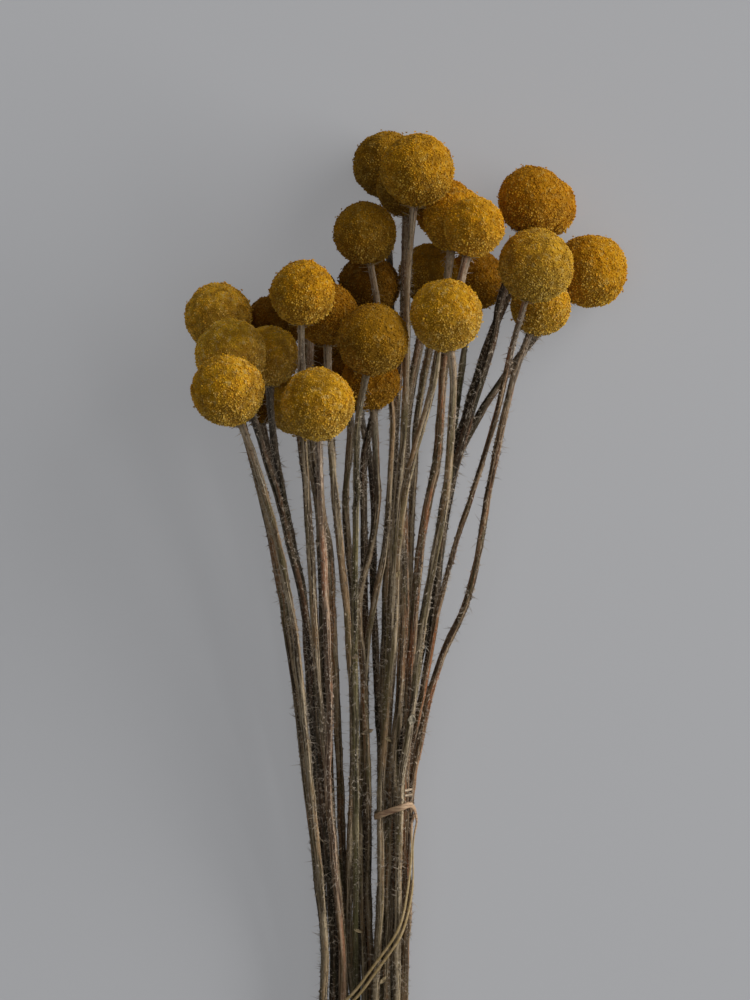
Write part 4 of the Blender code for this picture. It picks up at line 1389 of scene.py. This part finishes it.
class Litter:
    """Scraps of leaf and wool and the rubber band's hooked end, laid on the highest stems below them.

    Attributes:
        LEAF: the colour of dry leaf.
        RUBBER: the colour of the band's end.
        LIFT: how far over the stems a scrap lies, in millimetres.
        HOOK: the place of the band's end, in millimetres.
        HOOK_STEP: the way from one point of a strand to the next, in millimetres.
        HOOK_SPLIT: how far a strand is from the middle of the two, in millimetres.
        HOOK_RADIUS: a strand's radius, in millimetres.
        HOOK_SAG: how far a strand can dip between stems, in millimetres.
        scraps: the scraps.
    """

    LEAF: Colour = (0.30, 0.22, 0.13)
    RUBBER: Colour = (0.86, 0.68, 0.48)
    LIFT = 0.25
    HOOK = (-0.9, -8.4)
    HOOK_STEP = (0.6, 0.12)
    HOOK_SPLIT = 0.95
    HOOK_RADIUS = 0.42
    HOOK_SAG = 1.1
    scraps = (
        Scrap("curled_leaf", (-15.1, 15.2), 5.0, 1.9, 20.0, LEAF),
        Scrap("pale_leaf", (-7.6, 12.6), 4.2, 1.4, -35.0, STRAW),
        Scrap("pale_knob", (1.8, 20.0), 4.4, 2.9, 80.0, PITH),
        Scrap("upper_flake", (-3.5, 75.0), 3.4, 1.6, 60.0, STRAW),
        Scrap("middle_flake", (-19.5, 44.0), 3.0, 1.3, 15.0, LEAF),
        Scrap("lower_flake", (-8.4, -52.0), 2.8, 1.5, 70.0, STRAW),
        Scrap("left_flake", (-18.6, -61.0), 3.4, 1.2, -20.0, STRAW),
        Scrap("bottom_flake", (-9.1, -79.5), 4.0, 1.5, 50.0, STRAW),
    )

    def __init__(self, stems: list[bpy.types.Object]) -> None:
        """Keeps the stems' surface.

        Args:
            stems: the stems.
        """
        shape = bmesh.new()
        for stem in stems:
            shape.from_mesh(stem.data)
        self.surface = BVHTree.FromBMesh(shape)
        shape.free()

    def build(self) -> None:
        """Lays every scrap and the band's end."""
        for number, scrap in enumerate(self.scraps):
            self.lay(scrap, number)
        self.lay_band_end()

    def top_at(self, x: float, y: float) -> Optional[Vector]:
        """The highest point of the stems over a place of the floor in millimetres, or None."""
        above = Vector((x * MM, y * MM, 1.0))
        return self.surface.ray_cast(above, Vector((0.0, 0.0, -1.0)))[0]

    def lay_band_end(self) -> None:
        """Lays the short doubled end of the band over the stem that it hooks."""
        line = bpy.data.curves.new("band_end", "CURVE")
        line.dimensions = "3D"
        line.bevel_depth = self.HOOK_RADIUS * MM
        line.use_fill_caps = True
        line.resolution_u = 4
        x, y = self.HOOK
        over, up = self.HOOK_STEP
        for side in (-self.HOOK_SPLIT, self.HOOK_SPLIT):
            found = [self.top_at(x + over * step, y + side + up * step) for step in range(6)]
            places = [place for place in found if place is not None]
            lowest = max(place.z for place in places) - self.HOOK_SAG * MM
            strand = line.splines.new("NURBS")
            strand.points.add(len(places) - 1)
            for point, place in zip(strand.points, places):
                point.co = (place.x, place.y, max(place.z, lowest) + self.LIFT * MM, 1.0)
            strand.use_endpoint_u = True
            strand.order_u = 4
        shape = placed("band_line", line)
        mesh = as_mesh(shape)
        bpy.data.objects.remove(shape)
        mesh.shade_smooth()
        mesh.materials.clear()
        mesh.materials.append(self.finish("band_end", self.RUBBER))
        ride(placed("band_end", mesh), "rubber_band")

    def lay(self, scrap: Scrap, number: int) -> None:
        """Makes one scrap, as a crumpled leaf, and lays it on what is under it.

        Args:
            scrap: the scrap.
            number: its seed.
        """
        found = self.top_at(*scrap.place)
        if found is None:
            LOG.warning("nothing lies under %s", scrap.name)
            return
        shape = bmesh.new()
        bmesh.ops.create_icosphere(shape, subdivisions=3, radius=0.5 * MM)
        for vertex in shape.verts:
            lie = vertex.co / (0.5 * MM)
            crumple = noise.noise(lie * 1.9 + Vector((number * 3.1, 0.0, 0.0)))
            ripple = noise.noise(lie * 4.5 + Vector((0.0, number * 1.7, 0.0)))
            taper = 1.0 - 0.45 * lie.x**2 + 0.3 * crumple
            height = 0.24 * lie.z + 0.75 * lie.y**2 * 0.5 + 0.35 * lie.x**2 + 0.4 * crumple + 0.22 * ripple
            vertex.co = Vector((
                lie.x * 0.5 * scrap.length,
                lie.y * 0.5 * scrap.width * taper,
                height * 0.5 * scrap.width,
            )) * MM  # fmt: skip
        for face in shape.faces:
            face.smooth = True
        place = Matrix.Translation(found + Vector((0.0, 0.0, self.LIFT * MM)))
        shape.transform(place @ Matrix.Rotation(math.radians(scrap.turn), 4, "Z"))
        mesh = bpy.data.meshes.new(scrap.name)
        shape.to_mesh(mesh)
        shape.free()
        mesh.materials.append(self.finish(scrap.name, scrap.tone))
        ride(placed(scrap.name, mesh), "dry_stem")

    @staticmethod
    def finish(name: str, tone: Colour) -> bpy.types.Material:
        """Makes a mottled finish.

        Args:
            name: the material's name.
            tone: its colour.

        Returns:
            The material.
        """
        book = FinishBook(name, tone)
        place = book.wire("ShaderNodeTexCoord", output="Object")
        mottle = book.noise(place, 1400.0, 3.0, 0.6)
        dark = tuple(part * 0.35 for part in tone)
        book.set(Base_Color=book.mixed(book.ranged(mottle, 0.3, 0.6), dark, tone), Roughness=0.85)
        book.bump(mottle, 0.7, 0.3)
        return book.material


# ---------------------------------------------------------------------------------------------------------
# The studio


@dataclass
class Studio:
    """The floor, the lights and the camera, which looks straight down.

    Attributes:
        aim: the point of the floor under the camera, in millimetres.
        height: how high the camera is, in millimetres.
        span: what its picture covers from bottom to top, in millimetres.
        level: the height at which it covers that, in millimetres.
        reach: how far the floor reaches to each side, in metres.
        glow: how strongly the floor glows, as painted light that lifts the shadows cast on it.
        dusk: how strong the light of the room is.
        lit: the point that the lights face, in metres.
    """

    aim: tuple[float, float] = (-12.15, 103.06)
    height: float = 2000.0
    span: float = 375.0
    level: float = 45.0
    reach: float = 6.0
    glow: float = 0.215
    dusk: float = 0.08
    lit: tuple[float, float, float] = (0.0, 0.08, 0.0)

    def build(self) -> None:
        """Sets up the floor, the lights and the camera."""
        self.lay_floor()
        self.add_light("key", (3.10, 1.00, 1.25), (4.6, 2.2), 134.0, (1.0, 0.99, 0.98))
        self.add_light("top", (-0.35, 0.15, 3.2), (3.0, 3.0), 12.0, (0.98, 0.99, 1.0))
        self.add_world()
        self.add_camera()

    def lay_floor(self) -> None:
        """Lays a plain pale floor, which glows evenly as painted light that lifts the shadows cast on it."""
        mesh = bpy.data.meshes.new("floor")
        corners = [(x * self.reach, y * self.reach, 0) for x, y in ((-1, -1), (1, -1), (1, 1), (-1, 1))]
        mesh.from_pydata(corners, [], [(0, 1, 2, 3)])
        floor = placed("floor", mesh)
        book = FinishBook("floor", (0.306, 0.31, 0.323))
        place = book.wire("ShaderNodeTexCoord", output="Object")
        mottle = book.noise(place, 3.0, 2.0)
        book.set(Base_Color=book.mixed(mottle, (0.294, 0.298, 0.310), (0.318, 0.322, 0.335)), Roughness=0.9)
        # painted light: the floor glows though it is no lamp
        book.set(Emission_Color=(0.96, 0.97, 1.0), Emission_Strength=self.glow)
        mesh.materials.append(book.material)

    def add_light(
        self,
        name: str,
        place: tuple[float, float, float],
        sides: tuple[float, float],
        power: float,
        colour: Colour,
    ) -> None:
        """Adds an area light that faces the bunch.

        Args:
            name: the light's name.
            place: where it is, in metres.
            sides: its width and height, in metres.
            power: its power, in watts.
            colour: its colour.
        """
        data = bpy.data.lights.new(name, "AREA")
        data.shape = "RECTANGLE"
        data.size, data.size_y = sides
        data.energy = power
        data.color = colour
        light = placed(name, data)
        light.location = place
        light.rotation_euler = (Vector(self.lit) - Vector(place)).to_track_quat("-Z", "Y").to_euler()

    def add_world(self) -> None:
        """Fills the room with plain light."""
        world = bpy.data.worlds.new("room")
        world.use_nodes = True
        room = world.node_tree.nodes["Background"]
        room.inputs["Color"].default_value = (0.95, 0.97, 1.0, 1.0)
        room.inputs["Strength"].default_value = self.dusk
        bpy.context.scene.world = world

    def add_camera(self) -> None:
        """Hangs the camera over the bunch."""
        data = bpy.data.cameras.new("camera")
        data.sensor_fit = "VERTICAL"
        data.sensor_height = 36.0
        data.lens = data.sensor_height * (self.height - self.level) / self.span
        data.clip_start = 0.05
        data.clip_end = 50.0
        camera = placed("camera", data)
        camera.location = (self.aim[0] * MM, self.aim[1] * MM, self.height * MM)
        bpy.context.scene.camera = camera
        bpy.context.scene.view_settings.view_transform = "Standard"


def main() -> None:
    """Builds the bunch and the studio."""
    logging.basicConfig(level=logging.INFO, format="%(name)s: %(message)s")
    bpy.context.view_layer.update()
    Studio().build()
    stems = Bunch().build()
    RubberBand().build()
    Litter(stems).build()


if __name__ == "__main__":
    main()
